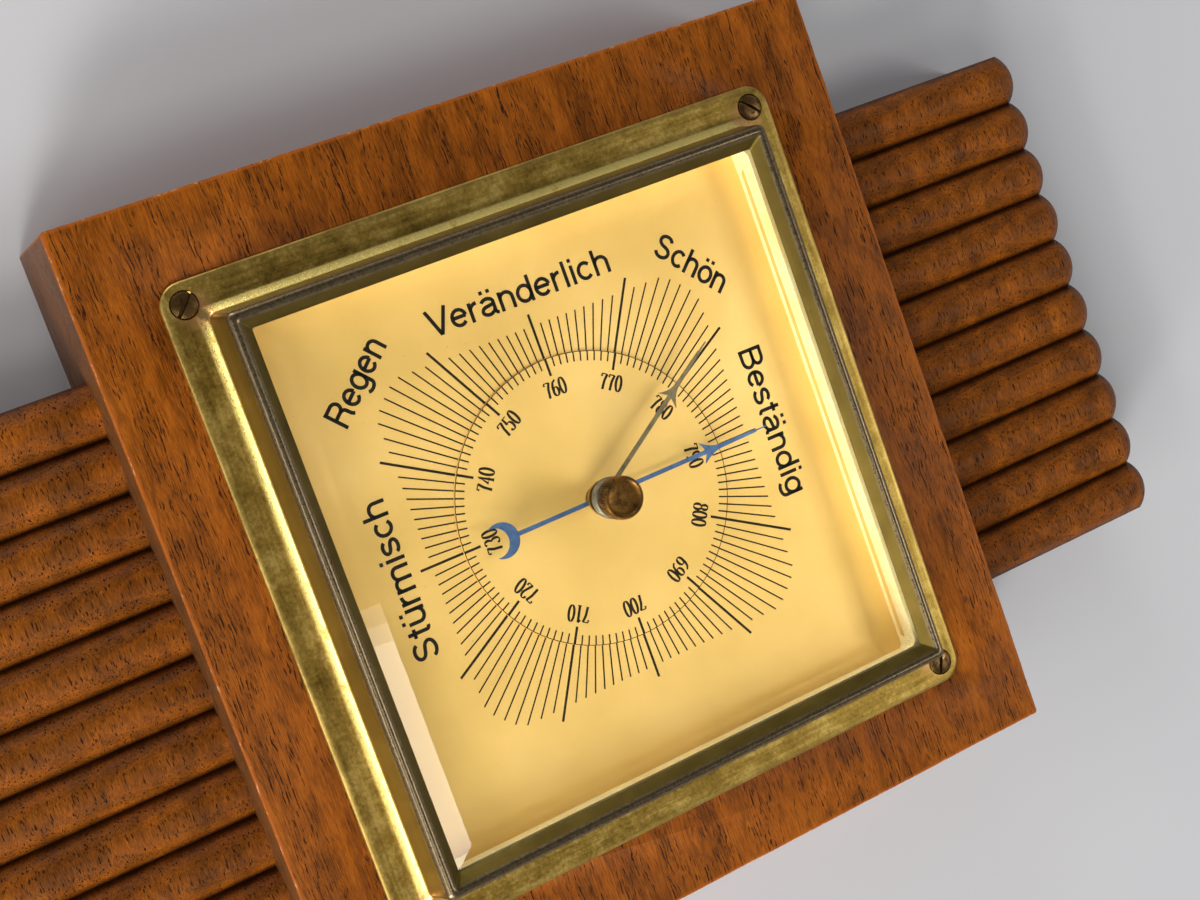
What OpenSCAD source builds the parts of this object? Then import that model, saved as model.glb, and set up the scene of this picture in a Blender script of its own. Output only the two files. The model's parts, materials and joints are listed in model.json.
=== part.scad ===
// Wall barometer with a square dial, an oak case and two reeded oak wings.
// All sizes are in millimetres. X points right, Y into the wall and Z up, with
// the wall at Y = 0 and the axis of the hands along Y through the origin.
// Depths are measured forward from the wall.

/* [Case] */
// Width of the square case
case_w = 158; // [146:1:200]
// Height of the square case
case_h = 160; // [150:1:200]
// Depth of the case from the wall to its front
case_d = 34; // [33:1:44]
// Radius of the bore that takes the movement
case_bore_r = 46; // [45:0.5:48]
// Width of the ledge that the back cover is screwed to
cover_ledge = 6; // [5:0.5:8]
// Thickness of the back cover
cover_t = 3; // [2.4:0.1:3.4]
// Radius of the hole for the blade that turns the adjusting screw
access_r = 4; // [3:0.5:6]

/* [Wings] */
// Length of each wing beyond the case
wing_len = 55; // [40:1:80]
// Number of reeds on each wing
reed_count = 10; // [4:1:12]
// Distance from one reed to the next
reed_pitch = 10.65; // [9:0.05:11]
// Radius of the rounded top of a reed
reed_r = 6; // [5.6:0.1:8]
// Radius of the rounded end of a reed
reed_end_r = 7.5; // [6.5:0.1:9]
// How far the tops of the reeds lie behind the front of the case
reed_setback = 9.8; // [6:0.1:12]
// Diameter of the dowels that hold the wings
dowel_d = 8; // [6:0.5:10]
// Length of the dowels
dowel_len = 30; // [20:1:40]
// Height of the dowels above and below the axis of the hands
dowel_z = 35; // [20:1:45]

/* [Hanger] */
// Width of the keyhole plate
hanger_w = 36; // [32:1:44]
// Height of the keyhole plate
hanger_h = 20; // [18:0.5:21]
// Thickness of the keyhole plate
hanger_t = 2; // [1.4:0.1:2.5]
// Radius of the round opening of the keyhole
keyhole_r = 4.5; // [4:0.1:5]
// Radius of the slot above it
keyhole_slot_r = 2.25; // [1.8:0.05:2.4]
// Distance from the centre of the opening to the top of the slot's run
keyhole_run = 7; // [6:0.5:8]
// Depth of the space behind the plate for the head of the screw
keyhole_depth = 7; // [5:0.5:10]

/* [Bezel] */
// Width of the square opening in the bezel
window_w = 105.6; // [100:0.2:110]
// Thickness of the pressed brass sheet
sheet_t = 0.8; // [0.6:0.05:1]
// Outer radius of the rolled bead round the opening
bead_r = 1.7; // [1.4:0.05:2.2]
// Depth of the inner edge of the bead below its centre
lip_d = 0.7; // [0.4:0.05:1]
// Radius of the fold between the flange and the upright wall
fold_r = 2; // [1.2:0.1:3]
// Width of the flat flange beyond the fold
flange_w = 6.3; // [6:0.1:7]
// Radius of the flange's outer corners
flange_corner_r = 4.5; // [2:0.1:5]
// Distance from the flange's edges to the bezel screws
bezel_screw_inset = 4.35; // [4:0.05:4.6]

/* [Glass and dial] */
// Thickness of the bevelled glass
glass_t = 3.4; // [3:0.1:5]
// Width of the bevel round the glass
bevel_w = 6.1; // [4:0.1:8]
// Height of the bevel
bevel_drop = 1.4; // [0.8:0.1:1.8]
// Depth of the frame that spaces the glass from the dial
slip_t = 6; // [5.8:0.1:8]
// How far that frame shows inside the bezel's opening
slip_show = 0.6; // [0.2:0.1:1.5]
// Radius of the inner corners of that frame
slip_corner_r = 0.9; // [0.4:0.1:2]
// Thickness of the dial plate
dial_t = 0.6; // [0.5:0.05:0.8]
// Radius of the hole in the middle of the dial plate
dial_hole_r = 3.2; // [2.4:0.1:4]
// Radius of the raised disc in the middle of the dial
disc_r = 28.25; // [26:0.25:30]
// Thickness of the raised disc
disc_t = 0.4; // [0.3:0.05:0.6]
// Radius of the hole in the middle of the raised disc
disc_hole_r = 2; // [1.8:0.1:2.3]

/* [Pointer] */
// Angle of the pointer, clockwise from the top
pointer_angle = 89.5; // [0:0.5:360]
// Distance from the axis to the tip of the pointer
pointer_len = 37.8; // [32:0.1:42]
// Width of the pointer's shaft
pointer_w = 0.85; // [0.6:0.05:1.2]
// Thickness of the pointer
pointer_t = 0.3; // [0.2:0.05:0.4]
// Distance from the axis to the barbs of the pointer's arrow
pointer_barb = 22.9; // [20:0.1:25]
// Width across the barbs
pointer_barb_w = 4.3; // [2.4:0.1:5]
// Length of the arrow's hollow sides, from the barbs
pointer_arrow = 4.5; // [3:0.1:6]
// Distance from the axis to the middle of the crescent
crescent_x = 21.4; // [16:0.1:26]
// Outer radius of the crescent
crescent_r = 3.45; // [2.5:0.05:4]
// Radius of the crescent's hollow
crescent_hole_r = 2.85; // [1.8:0.05:2.9]
// How far the hollow lies outward of the crescent's middle
crescent_shift = 1.5; // [0.8:0.1:2]

/* [Set hand and knob] */
// Angle of the set hand, clockwise from the top
set_angle = 56.7; // [0:0.1:360]
// Distance from the axis to the tip of the set hand
set_len = 37; // [32:0.1:42]
// Width of the set hand's shaft
set_w = 0.83; // [0.6:0.05:1.2]
// Thickness of the set hand
set_t = 0.35; // [0.25:0.05:0.4]
// Width across the barbs of the set hand's arrow
set_barb_w = 4.7; // [3:0.1:6]
// Length of that arrow's body
set_arrow = 3.8; // [3:0.1:6]
// Radius of the knurled knob
knob_r = 4.1; // [3.5:0.1:6]
// Height of the knob
knob_h = 4.4; // [3:0.1:6]
// Depth of the dished top of the knob
knob_dish = 0.7; // [0.3:0.1:1.2]
// Number of grooves round the knob
knurl_count = 40; // [20:1:48]
// Radius of the spindle below the knob
spindle_r = 1.2; // [1:0.05:1.4]
// Radius of the bush's collar
collar_r = 4; // [3.4:0.1:5]
// Height of the bush's collar above the glass
collar_h = 1.8; // [1.2:0.1:2.6]
// Radius of the bush's sleeve through the glass
sleeve_r = 2.4; // [2.1:0.05:2.6]
// Radius of the nut under the glass
bush_nut_r = 3.5; // [3.2:0.1:4.5]
// Thickness of that nut
bush_nut_t = 0.8; // [0.6:0.05:0.9]

/* [Movement] */
// Radius of the movement's base plate
base_r = 42; // [41.6:0.1:43]
// Thickness of the base plate
base_t = 1.6; // [1.2:0.1:2]
// Gap between the back of the dial and the foremost screws of the movement
dial_gap = 0.5; // [0.3:0.1:1.5]
// Radius of the vacuum capsule
capsule_r = 21; // [18:0.5:22]
// Thickness of the vacuum capsule
capsule_t = 7; // [6:0.1:8]
// Number of corrugations in each side of the capsule
corrugations = 4; // [3:1:5]
// Height of the bridge that carries the main spring
bridge_h = 11.4; // [10.8:0.1:11.6]
// Thickness of the main spring
spring_t = 1.2; // [1:0.05:1.4]
// Thickness of the main lever
lever_t = 1; // [0.8:0.05:1.2]
// Height of the link's joint on the main lever above the axis of the hands
lever_tip_z = 30; // [29:0.1:31]
// Length of the rocking shaft's short arm
link_arm_len = 4.5; // [4:0.1:5]
// Height of the rocking shaft above the base plate
rocker_rise = 4.4; // [4.2:0.1:4.8]
// Length of the rocking shaft's long arm, up to the chain
chain_arm_len = 16; // [15.6:0.1:16.2]
// Radius of the drum that the chain pulls
drum_r = 0.8; // [0.7:0.05:1]
// Radius of the arbor that carries the pointer
arbor_r = 0.5; // [0.4:0.05:0.6]
// Number of turns in the hairspring
hairspring_turns = 5; // [3:1:6]
// Width of the hairspring's strip
hairspring_w = 0.3; // [0.2:0.05:0.4]

/* [Clearances] */
// Radial clearance of what turns in a bore
running_gap = 0.05; // [0.02:0.01:0.08]
// Clearance of fixed pieces beside each other
snug_gap = 0.05; // [0.02:0.01:0.1]
// Clearance between hands, nut and knob that turn above each other
turning_gap = 0.2; // [0.15:0.01:0.3]
// Clearance round wooden and pressed parts that drop into a recess
drop_gap = 0.2; // [0.1:0.05:0.3]

/* [Hidden] */
$fn = 64;

// Colours as the photograph shows them
oak = [0.62, 0.42, 0.22];
dark_oak = [0.45, 0.30, 0.16];
gold = [0.93, 0.80, 0.45];
aged_brass = [0.52, 0.45, 0.22];
bright_brass = [0.80, 0.65, 0.33];
blued_steel = [0.12, 0.13, 0.20];
grey_metal = [0.60, 0.60, 0.58];
clear_glass = [0.80, 0.90, 0.90, 0.35];

// Overlap of the shapes that make up one piece
lap = 0.1;
// How far a cut runs past the faces that it opens
past = 1;

// Screws: radius of the shank, and of the head as a multiple of it
small_shank_r = 1;
wood_shank_r = 1.4;
wood_screw_len = 10;
tiny_shank_r = 0.7;
lever_shank_r = 0.8;
// Depth of a screw's hole beyond its point
hole_room = 0.5;
head_ratio = 1.96;
head_h = 1.2;
head_dome = 0.35;
slot_w = 0.6;
slot_d = 0.5;

// Bezel, measured outward from the axis of the hands
window_half = window_w / 2;
wall_out = window_half + 2 * bead_r;
wall_in = wall_out - sheet_t;
fold_out = wall_out + fold_r;
bezel_half = fold_out + flange_w;
bezel_screw_at = bezel_half - bezel_screw_inset;

// Dial, frame and glass, which drop into the bezel
dial_room = 0.5;
glass_room = 0.8;
dial_half = wall_in - dial_room;
slip_half = dial_half;
slip_window_half = window_half - slip_show;
glass_half = wall_in - glass_room;
plateau_half = glass_half - bevel_w;
dial_front = case_d + dial_t;
disc_front = dial_front + disc_t;
glass_back = dial_front + slip_t;
glass_front = glass_back + glass_t;
lip_depth = glass_front - bevel_drop * (window_half - plateau_half) / bevel_w + snug_gap;
bead_depth = lip_depth + lip_d;

// Hands, from the glass inward
sleeve_out = 0.1;
sleeve_end = glass_back - bush_nut_t - sleeve_out;
set_hub_h = 0.6;
set_hub_r = 2.2;
set_hub_back = sleeve_end - turning_gap - set_hub_h;
pointer_bush_h = 1.2;
pointer_bush_r = 1.4;
pointer_hub_r = 2.2;
pointer_front = set_hub_back - 2 * turning_gap;
pointer_back = pointer_front - pointer_bush_h;
pointer_blade_gap = 0.3;
pointer_blade = pointer_front - pointer_t - pointer_blade_gap;
needle_w = 0.3;
needle_len = 2.4;
notch = 0.9;
knob_back = glass_front + collar_h + turning_gap;
knurl_r = 0.3;
// Radius of the knob's dish as a share of the knob's
dish_share = 0.775;

// Case, cover and hanger
cover_r = case_bore_r + cover_ledge;
cover_screw_at = case_bore_r + cover_ledge / 2;
cover_shank_r = 1.2;
cover_screw_len = 12;
cover_screw_angles = [90, 210, 330];
hanger_z = (cover_r + case_h / 2) / 2;
keyhole_z = hanger_z - keyhole_run / 2;
keyhole_room = 1;
keyhole_space_r = keyhole_r + keyhole_room;
hanger_screw_inset = 4;
hanger_screw_x = hanger_w / 2 - hanger_screw_inset;
hanger_shank_r = 1.1;
hanger_hole_r = hanger_shank_r + snug_gap;
hanger_screw_len = 11;

// Wings
reed_top = case_d - reed_setback;
reed_axis = reed_top - reed_r;
reed_end_axis = reed_top - reed_end_r;
wing_half = reed_count * reed_pitch / 2;
wing_tip = case_w / 2 + wing_len;
reed_end_x = wing_tip - reed_end_r;
dowel_under = 6;
dowel_depth = reed_axis - dowel_under;

// Movement, hung from the back of the dial by its feet, down to the base plate
plate_t = 1;
drum_h = 2;
drum_flange_t = 0.3;
cock_gap = 0.3;
cock_screw_h = 0.8;
drum_front_h = drum_h / 2 + drum_flange_t;
chain_depth = case_d - dial_gap - cock_screw_h - plate_t - cock_gap - drum_front_h;
rocker_depth = chain_depth - chain_arm_len;
base_front = rocker_depth - rocker_rise;
base_depth = base_front - base_t;
hub_h = 0.8;
capsule_back = base_front + hub_h;
capsule_front = capsule_back + capsule_t;
bridge_top = base_front + bridge_h;
spring_gap = 0.1;
spring_back = bridge_top + spring_gap;
spring_front = spring_back + spring_t;
clamp_back = spring_front + spring_gap;
clamp_t = 1.4;
lever_front = spring_front + lever_t;
post_r = 2;
post_collar_r = 3.2;
post_collar_t = 1.6;
post_nut_t = 1.4;
post_nut_room = 0.7;

// The main lever pivots where the clamp holds the spring. Its reach, the two
// arms of the rocking shaft and the drum set the gearing of the hands.
lever_reach = 54;
lever_pivot_z = lever_tip_z - lever_reach;
rocker_z = lever_tip_z - link_arm_len;
rocker_ratio = drum_r / chain_arm_len;
lever_ratio = rocker_ratio * link_arm_len / lever_reach;
echo(rocker_turns_per_pointer_turn = rocker_ratio);
echo(lever_turns_per_pointer_turn = lever_ratio);

// Rocking shaft
rocker_r = 1.2;
rocker_pivot_r = 0.8;
rocker_half = 12.8;
rocker_hub_r = 2.2;
bracket_x = 13;
bracket_t = 2;
bracket_w = 6;
bracket_foot = 5;
bracket_foot_t = 1.2;
arm_t = 1;
chain_r = 0.25;
chain_x = -(drum_r + chain_r + snug_gap);
link_x = 7;
link_w = 1.2;
link_pin_r = 0.5;
link_eye_gap = 0.4;
link_eye_r = 1.8;
link_h = 2.4;
// How far the link's upper pin stands in the spring's gap and past the lever
link_pin_in = 0.5;
link_pin_out = 0.3;
// Room between the link and its arm, and the arm's pin past the link
link_side_gap = 0.4;
link_pin_end = 0.5;
link_arm_w = 2;
link_arm_end_r = 1.2;
chain_arm_w = 1.6;
chain_arm_end = 0.7;
// How far the shaft stands past its brackets, and they past its axis
rocker_end = 0.3;
bracket_over = 2.5;

// Arbor, its two plates and the hairspring
plate_back = lever_front + post_nut_t + post_nut_room;
plate_front = plate_back + plate_t;
plate_pillar_x = 28;
plate_w = 12;
// The plate past its pillars' axes, and its round middle past the cock's
plate_rim = 4;
boss_rim = 2.5;
arbor_pivot = 0.4;
pillar_r = 2.5;
tenon_r = 1.5;
drum_flange_r = 1.5;
cock_back = chain_depth + drum_front_h + cock_gap;
cock_front = cock_back + plate_t;
cock_pillar_x = 9;
cock_pillar_r = 1.6;
cock_w = 7;
cock_rim = 3;
collet_r = 1.3;
collet_h = 1;
hairspring_start = 0.3;
hairspring_r = collet_r + hairspring_start;
hairspring_pitch = 0.9;
hairspring_h = 0.6;
hairspring_lift = 0.8;
hairspring_back = plate_front + hairspring_lift;
hairspring_out_r = hairspring_r + hairspring_turns * hairspring_pitch;
stud_w = 1.2;
spiral_steps = 24;
echo(least_gap_of_hairspring = hairspring_pitch - hairspring_w);

// Feet that carry the movement from the dial
foot_screw_len = 6;
plate_screw_len = 5;
foot_inset = 5;
foot_at = base_r - foot_inset;
foot_angles = [45, 135, 225, 315];

// Bridge and adjusting screw
bridge_w = 18;
bridge_root = 28;
bridge_root_t = 5;
bridge_foot_t = 2;
bridge_foot_end = 40;
// Clamp screws: beyond the spring's edge, depth into the bridge, and its hole
clamp_screw_out = 2;
clamp_screw_in = 3;
clamp_hole = 4;
clamp_room = 0.2;
spring_root_w = 11;
spring_root = 3;
spring_neck = 4;
spring_shoulder = 9;
spring_w = 18;
spring_taper_z = 2;
spring_end_w = 10;
spring_end_z = 16;
lever_screw_z = [10, 14];
lever_w = 5;
lever_root_z = 7;
lever_knee_z = 13;
lever_knee_out = 0.5;
lever_screw_out = 0.5;
lever_bend_z = 15.5;
lever_end_w = 2.6;
lever_end_h = 3;
bridge_screw_x = 6.5;
bridge_screw_z = -32;
// How far a screw ends short of the plate's back
screw_short = 0.2;
capsule_nut_t = 1.2;
capsule_nut_r = 5;
capsule_hub_r = 4;
capsule_seam_w = 1.5;
capsule_edge_r = capsule_r - capsule_seam_w;
seam_h = 0.6;
wave_h = 0.35;
adjuster_z = -35;
adjuster_r = 1.5;
adjuster_head_r = 3;
adjuster_head_h = 1.8;
adjuster_gap = 0.4;
adjuster_slot = 0.8;

// Turns its children so that their z axis points away from the wall
module out_from_wall(depth) {
    translate([0, -depth, 0])
        rotate([90, 0, 0])
            children();
}

// Extrudes the outline of its children forward from the given depth
module slab(depth, thickness) {
    out_from_wall(depth)
        linear_extrude(thickness)
            children();
}

// A rod along the axis of the hands, moved to (x, z)
module rod(x, z, depth, length, r) {
    out_from_wall(depth)
        translate([x, z, 0])
            cylinder(h = length, r = r);
}

// Lays its children along X at (z, depth), starting at x
module along_x(x, z, depth) {
    translate([x, -depth, z])
        rotate([0, 90, 0])
            children();
}

module rounded_square(half, r) {
    for (sx = [-1, 1], sy = [-1, 1])
        translate([sx * (half - r), sy * (half - r)])
            circle(r);
    square([2 * half, 2 * (half - r)], center = true);
    square([2 * (half - r), 2 * half], center = true);
}

module on_circle(at, angles) {
    for (a = angles)
        rotate(a)
            translate([at, 0])
                children();
}

// Countersunk slotted screw: its face lies at z = 0 and its point at z = -length
module countersunk_screw(shank_r, length, angle, dome = 0) {
    head_r = shank_r * head_ratio;
    difference() {
        union() {
            translate([0, 0, -head_h])
                cylinder(h = head_h, r1 = shank_r, r2 = head_r);
            translate([0, 0, -length])
                cylinder(h = length - head_h, r = shank_r);
            if (dome > 0)
                cylinder(h = dome, r1 = head_r, r2 = head_r * 0.8);
        }
        rotate(angle)
            translate([-head_r - past, -slot_w / 2, dome - slot_d])
                cube([2 * (head_r + past), slot_w, slot_d + past]);
    }
}

// Room for such a screw, a snug fit on its head and shank
module countersunk_hole(shank_r, length) {
    r = shank_r + snug_gap;
    translate([0, 0, -head_h])
        cylinder(h = head_h, r1 = r, r2 = shank_r * head_ratio + snug_gap);
    translate([0, 0, -length])
        cylinder(h = length, r = r);
    cylinder(h = 1, r = shank_r * head_ratio + snug_gap);
}

// Cheese-head slotted screw: its head stands on z = 0 and its shank hangs below
module cheese_screw(shank_r, length, height) {
    head_r = shank_r * head_ratio;
    difference() {
        union() {
            cylinder(h = height, r = head_r);
            translate([0, 0, -length])
                cylinder(h = length + snug_gap, r = shank_r);
        }
        translate([-head_r - past, -slot_w / 2, height - slot_d])
            cube([2 * (head_r + past), slot_w, slot_d + past]);
    }
}

// Case

module keyhole_outline(round_r, slot_r) {
    translate([0, keyhole_z])
        circle(round_r);
    translate([0, keyhole_z + keyhole_run])
        circle(slot_r);
    translate([-slot_r, keyhole_z])
        square([2 * slot_r, keyhole_run]);
}

module dowel(side, z, r, length) {
    along_x(side * case_w / 2 - length / 2, z, dowel_depth)
        cylinder(h = length, r = r);
}

module case_body() {
    color(oak)
        difference() {
            slab(0, case_d)
                square([case_w, case_h], center = true);
            rod(0, 0, -past, case_d + 2 * past, case_bore_r);
            rod(0, 0, -past, cover_t + past, cover_r);
            slab(-past, hanger_t + past)
                translate([-hanger_w / 2 - drop_gap, hanger_z - hanger_h / 2 - drop_gap])
                    square([hanger_w + 2 * drop_gap, hanger_h + 2 * drop_gap]);
            slab(hanger_t - lap, keyhole_depth + lap)
                keyhole_outline(keyhole_space_r, keyhole_space_r);
            for (side = [-1, 1], z = [-dowel_z, dowel_z])
                dowel(side, z, dowel_d / 2 + snug_gap, dowel_len + 2 * snug_gap);
            for (side = [-1, 1])
                rod(side * hanger_screw_x, hanger_z, hanger_t - lap, hanger_screw_len, hanger_hole_r);
            out_from_wall(cover_t)
                on_circle(cover_screw_at, cover_screw_angles)
                    translate([0, 0, -lap])
                        cylinder(h = cover_screw_len, r = cover_shank_r + snug_gap);
            out_from_wall(case_d + sheet_t)
                bezel_screw_places()
                    countersunk_hole(wood_shank_r, wood_screw_len + hole_room);
        }
}

// One wing, drawn on the right and mirrored for the left

module reed_section() {
    intersection() {
        union() {
            translate([-wing_half, 0])
                square([2 * wing_half, reed_axis]);
            for (i = [0 : reed_count - 1])
                translate([reed_middle(i), reed_axis])
                    circle(reed_r);
        }
        translate([-wing_half, 0])
            square([2 * wing_half, case_d]);
    }
}

function reed_middle(i) = (i + 0.5) * reed_pitch - wing_half;

module reed_end(i) {
    intersection() {
        union() {
            rod(reed_end_x, reed_middle(i), 0, reed_end_axis, reed_end_r);
            translate([reed_end_x, -reed_end_axis, reed_middle(i)])
                sphere(reed_end_r);
        }
        translate([reed_end_x - lap, -case_d, reed_middle(i) - reed_pitch / 2 - lap])
            cube([reed_end_r + 2 * lap, case_d, reed_pitch + 2 * lap]);
    }
}

module wing() {
    difference() {
        intersection() {
            translate([case_w / 2, 0, 0])
                rotate([0, 90, 0])
                    linear_extrude(wing_len)
                        rotate(180)
                            reed_section();
            union() {
                translate([case_w / 2, -case_d, -wing_half])
                    cube([wing_len - reed_end_r, case_d, 2 * wing_half]);
                for (i = [0 : reed_count - 1])
                    reed_end(i);
            }
        }
        for (z = [-dowel_z, dowel_z])
            dowel(1, z, dowel_d / 2 + snug_gap, dowel_len + 2 * snug_gap);
    }
}

module right_wing() {
    color(oak)
        wing();
}

module left_wing() {
    color(oak)
        mirror([1, 0, 0])
            wing();
}

module wing_dowels() {
    color(dark_oak)
        for (side = [-1, 1], z = [-dowel_z, dowel_z])
            dowel(side, z, dowel_d / 2, dowel_len);
}

// Back cover and hanger

module back_cover() {
    color(dark_oak)
        difference() {
            rod(0, 0, 0, cover_t, cover_r - drop_gap);
            rod(0, adjuster_z, -past, cover_t + 2 * past, access_r);
            cover_screw_places()
                countersunk_hole(cover_shank_r, cover_screw_len + past);
        }
}

module cover_screws() {
    color(bright_brass)
        cover_screw_places()
            countersunk_screw(cover_shank_r, cover_screw_len, 20);
}

// Puts its children on the cover's screw circle, their z axis towards the wall
module cover_screw_places() {
    out_from_wall(0)
        on_circle(cover_screw_at, cover_screw_angles)
            rotate([180, 0, 0])
                children();
}

module hanger_plate() {
    color(bright_brass)
        difference() {
            slab(0, hanger_t)
                translate([-hanger_w / 2, hanger_z - hanger_h / 2])
                    square([hanger_w, hanger_h]);
            slab(-past, hanger_t + 2 * past)
                keyhole_outline(keyhole_r, keyhole_slot_r);
            hanger_screw_places()
                countersunk_hole(hanger_shank_r, hanger_screw_len);
        }
}

module hanger_screws() {
    color(bright_brass)
        hanger_screw_places()
            countersunk_screw(hanger_shank_r, hanger_screw_len, 70);
}

module hanger_screw_places() {
    out_from_wall(0)
        for (side = [-1, 1])
            translate([side * hanger_screw_x, hanger_z])
                rotate([180, 0, 0])
                    children();
}

// Bezel, glass and dial

// Section of the rolled wall: x outward from the window, y forward from the case
module rim_section() {
    bead_y = bead_depth - case_d;
    translate([2 * bead_r - sheet_t, fold_r + sheet_t])
        square([sheet_t, bead_y - fold_r - sheet_t]);
    translate([0, bead_y - lip_d])
        square([sheet_t, lip_d]);
    translate([bead_r, bead_y])
        intersection() {
            difference() {
                circle(bead_r);
                circle(bead_r - sheet_t);
            }
            translate([-bead_r, 0])
                square([2 * bead_r, bead_r]);
        }
    translate([2 * bead_r + fold_r, fold_r + sheet_t])
        intersection() {
            difference() {
                circle(fold_r + sheet_t);
                circle(fold_r);
            }
            translate([-fold_r - sheet_t, -fold_r - sheet_t])
                square(fold_r + sheet_t);
        }
}

// One side of the rolled wall, mitred at both ends
module rim_side() {
    intersection() {
        translate([window_half, fold_out, 0])
            rotate([90, 0, 0])
                linear_extrude(2 * fold_out)
                    rim_section();
        linear_extrude(bead_depth + bead_r)
            polygon([[0, 0], [bezel_half, -bezel_half], [bezel_half, bezel_half]]);
    }
}

module bezel() {
    color(aged_brass) {
        for (a = [0 : 90 : 270])
            out_from_wall(case_d)
                rotate(a)
                    rim_side();
        difference() {
            slab(case_d, sheet_t)
                difference() {
                    rounded_square(bezel_half, flange_corner_r);
                    square(2 * fold_out, center = true);
                }
            out_from_wall(case_d + sheet_t)
                bezel_screw_places()
                    countersunk_hole(wood_shank_r, wood_screw_len);
        }
    }
}

module bezel_screw_places() {
    for (sx = [-1, 1], sy = [-1, 1])
        translate([sx * bezel_screw_at, sy * bezel_screw_at])
            children();
}

// Angles of the slots: top left, top right, bottom right, bottom left
module bezel_screws() {
    places = [[-1, 1, 48], [1, 1, -42], [1, -1, 70], [-1, -1, 15]];
    color(aged_brass)
        out_from_wall(case_d + sheet_t)
            for (p = places)
                translate([p[0] * bezel_screw_at, p[1] * bezel_screw_at])
                    countersunk_screw(wood_shank_r, wood_screw_len, p[2], head_dome);
}

// Section of the glass: flat back, upright edge and bevel
module glass_section() {
    edge_t = glass_t - bevel_drop;
    polygon([
        [-glass_half, 0],
        [glass_half, 0],
        [glass_half, edge_t],
        [plateau_half, glass_t],
        [-plateau_half, glass_t],
        [-glass_half, edge_t]
    ]);
}

module bevelled_bar() {
    rotate([90, 0, 0])
        linear_extrude(2 * glass_half, center = true)
            glass_section();
}

module glass() {
    color(clear_glass)
        difference() {
            out_from_wall(glass_back)
                intersection() {
                    bevelled_bar();
                    rotate(90)
                        bevelled_bar();
                }
            rod(0, 0, glass_back - past, glass_t + 2 * past, sleeve_r + drop_gap);
        }
}

module glass_slip() {
    color(gold)
        slab(dial_front, slip_t)
            difference() {
                rounded_square(slip_half, slip_half - window_half);
                rounded_square(slip_window_half, slip_corner_r);
            }
}

module dial_plate() {
    color(gold)
        slab(case_d, dial_t)
            difference() {
                square(2 * dial_half, center = true);
                circle(dial_hole_r);
            }
}

module scale_disc() {
    color(gold)
        slab(dial_front, disc_t)
            difference() {
                circle(disc_r);
                circle(disc_hole_r);
            }
}

module foot_places(depth) {
    out_from_wall(depth)
        on_circle(foot_at, foot_angles)
            children();
}

module dial_feet() {
    color(bright_brass)
        difference() {
            foot_places(base_front)
                cylinder(h = case_d - base_front, r = pillar_r);
            foot_places(base_front - past)
                cylinder(h = foot_screw_len + past, r = small_shank_r + snug_gap);
        }
}

module foot_screws() {
    color(grey_metal)
        foot_places(base_depth)
            rotate([180, 0, 0])
                cheese_screw(small_shank_r, foot_screw_len, head_h);
}

// Hands, knob and bush

// Hand on the x axis: a shaft, then barbs with hollow sides, a bar and a thin needle
module hand_outline(start_x, shaft_w, barb_w, body, tip_x) {
    barb_x = pointer_barb;
    flare = (barb_w - shaft_w) / 2;
    hollow = [for (t = [0 : 0.125 : 1]) [barb_x + body * t, shaft_w / 2 + flare * (1 - t) ^ 2]];
    bar_end = tip_x - needle_len;
    side = concat(
        [[start_x, shaft_w / 2], [barb_x + notch, shaft_w / 2]],
        hollow,
        [[bar_end, shaft_w / 3], [bar_end, needle_w / 2], [tip_x, needle_w / 3]]
    );
    lower_side = [for (p = side) [p[0], -p[1]]];
    upper_side = [for (i = [len(side) - 1 : -1 : 0]) side[i]];
    polygon(concat(lower_side, upper_side));
}

module crescent_outline() {
    difference() {
        translate([-crescent_x, 0])
            circle(crescent_r);
        translate([-crescent_x - crescent_shift, 0])
            circle(crescent_hole_r);
    }
}

module pointer() {
    tail = crescent_x + (crescent_shift - crescent_r - crescent_hole_r) / 2;
    color(blued_steel)
        difference() {
            slab(pointer_blade, pointer_t)
                rotate(90 - pointer_angle) {
                    hand_outline(-tail, pointer_w, pointer_barb_w, pointer_arrow, pointer_len);
                    crescent_outline();
                    circle(pointer_hub_r);
                }
            rod(0, 0, pointer_blade - past, pointer_t + 2 * past, pointer_bush_r + snug_gap / 2);
        }
}

module pointer_bush() {
    color(bright_brass)
        difference() {
            rod(0, 0, pointer_back, pointer_bush_h, pointer_bush_r);
            rod(0, 0, pointer_back - past, pointer_bush_h + 2 * past, arbor_r + snug_gap / 2);
        }
}

module set_hand() {
    color(bright_brass)
        difference() {
            union() {
                rod(0, 0, set_hub_back, set_hub_h, set_hub_r);
                slab(set_hub_back + (set_hub_h - set_t) / 2, set_t)
                    rotate(90 - set_angle)
                        hand_outline(0, set_w, set_barb_w, set_arrow, set_len);
            }
            rod(0, 0, set_hub_back - past, set_hub_h + 2 * past, spindle_r + snug_gap / 2);
        }
}

module set_knob() {
    rim_r = knob_r * dish_share;
    dish_r = (knob_dish * knob_dish + rim_r * rim_r) / (2 * knob_dish);
    color(aged_brass) {
        difference() {
            rod(0, 0, knob_back, knob_h, knob_r);
            out_from_wall(knob_back + knob_h - knob_dish + dish_r)
                sphere(dish_r);
            for (i = [0 : knurl_count - 1])
                rod(
                    (knob_r + knurl_r / 2) * cos(i * 360 / knurl_count),
                    (knob_r + knurl_r / 2) * sin(i * 360 / knurl_count),
                    knob_back - past,
                    knob_h + 2 * past,
                    knurl_r
                );
        }
        rod(0, 0, set_hub_back, knob_back - set_hub_back + lap, spindle_r);
    }
}

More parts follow.
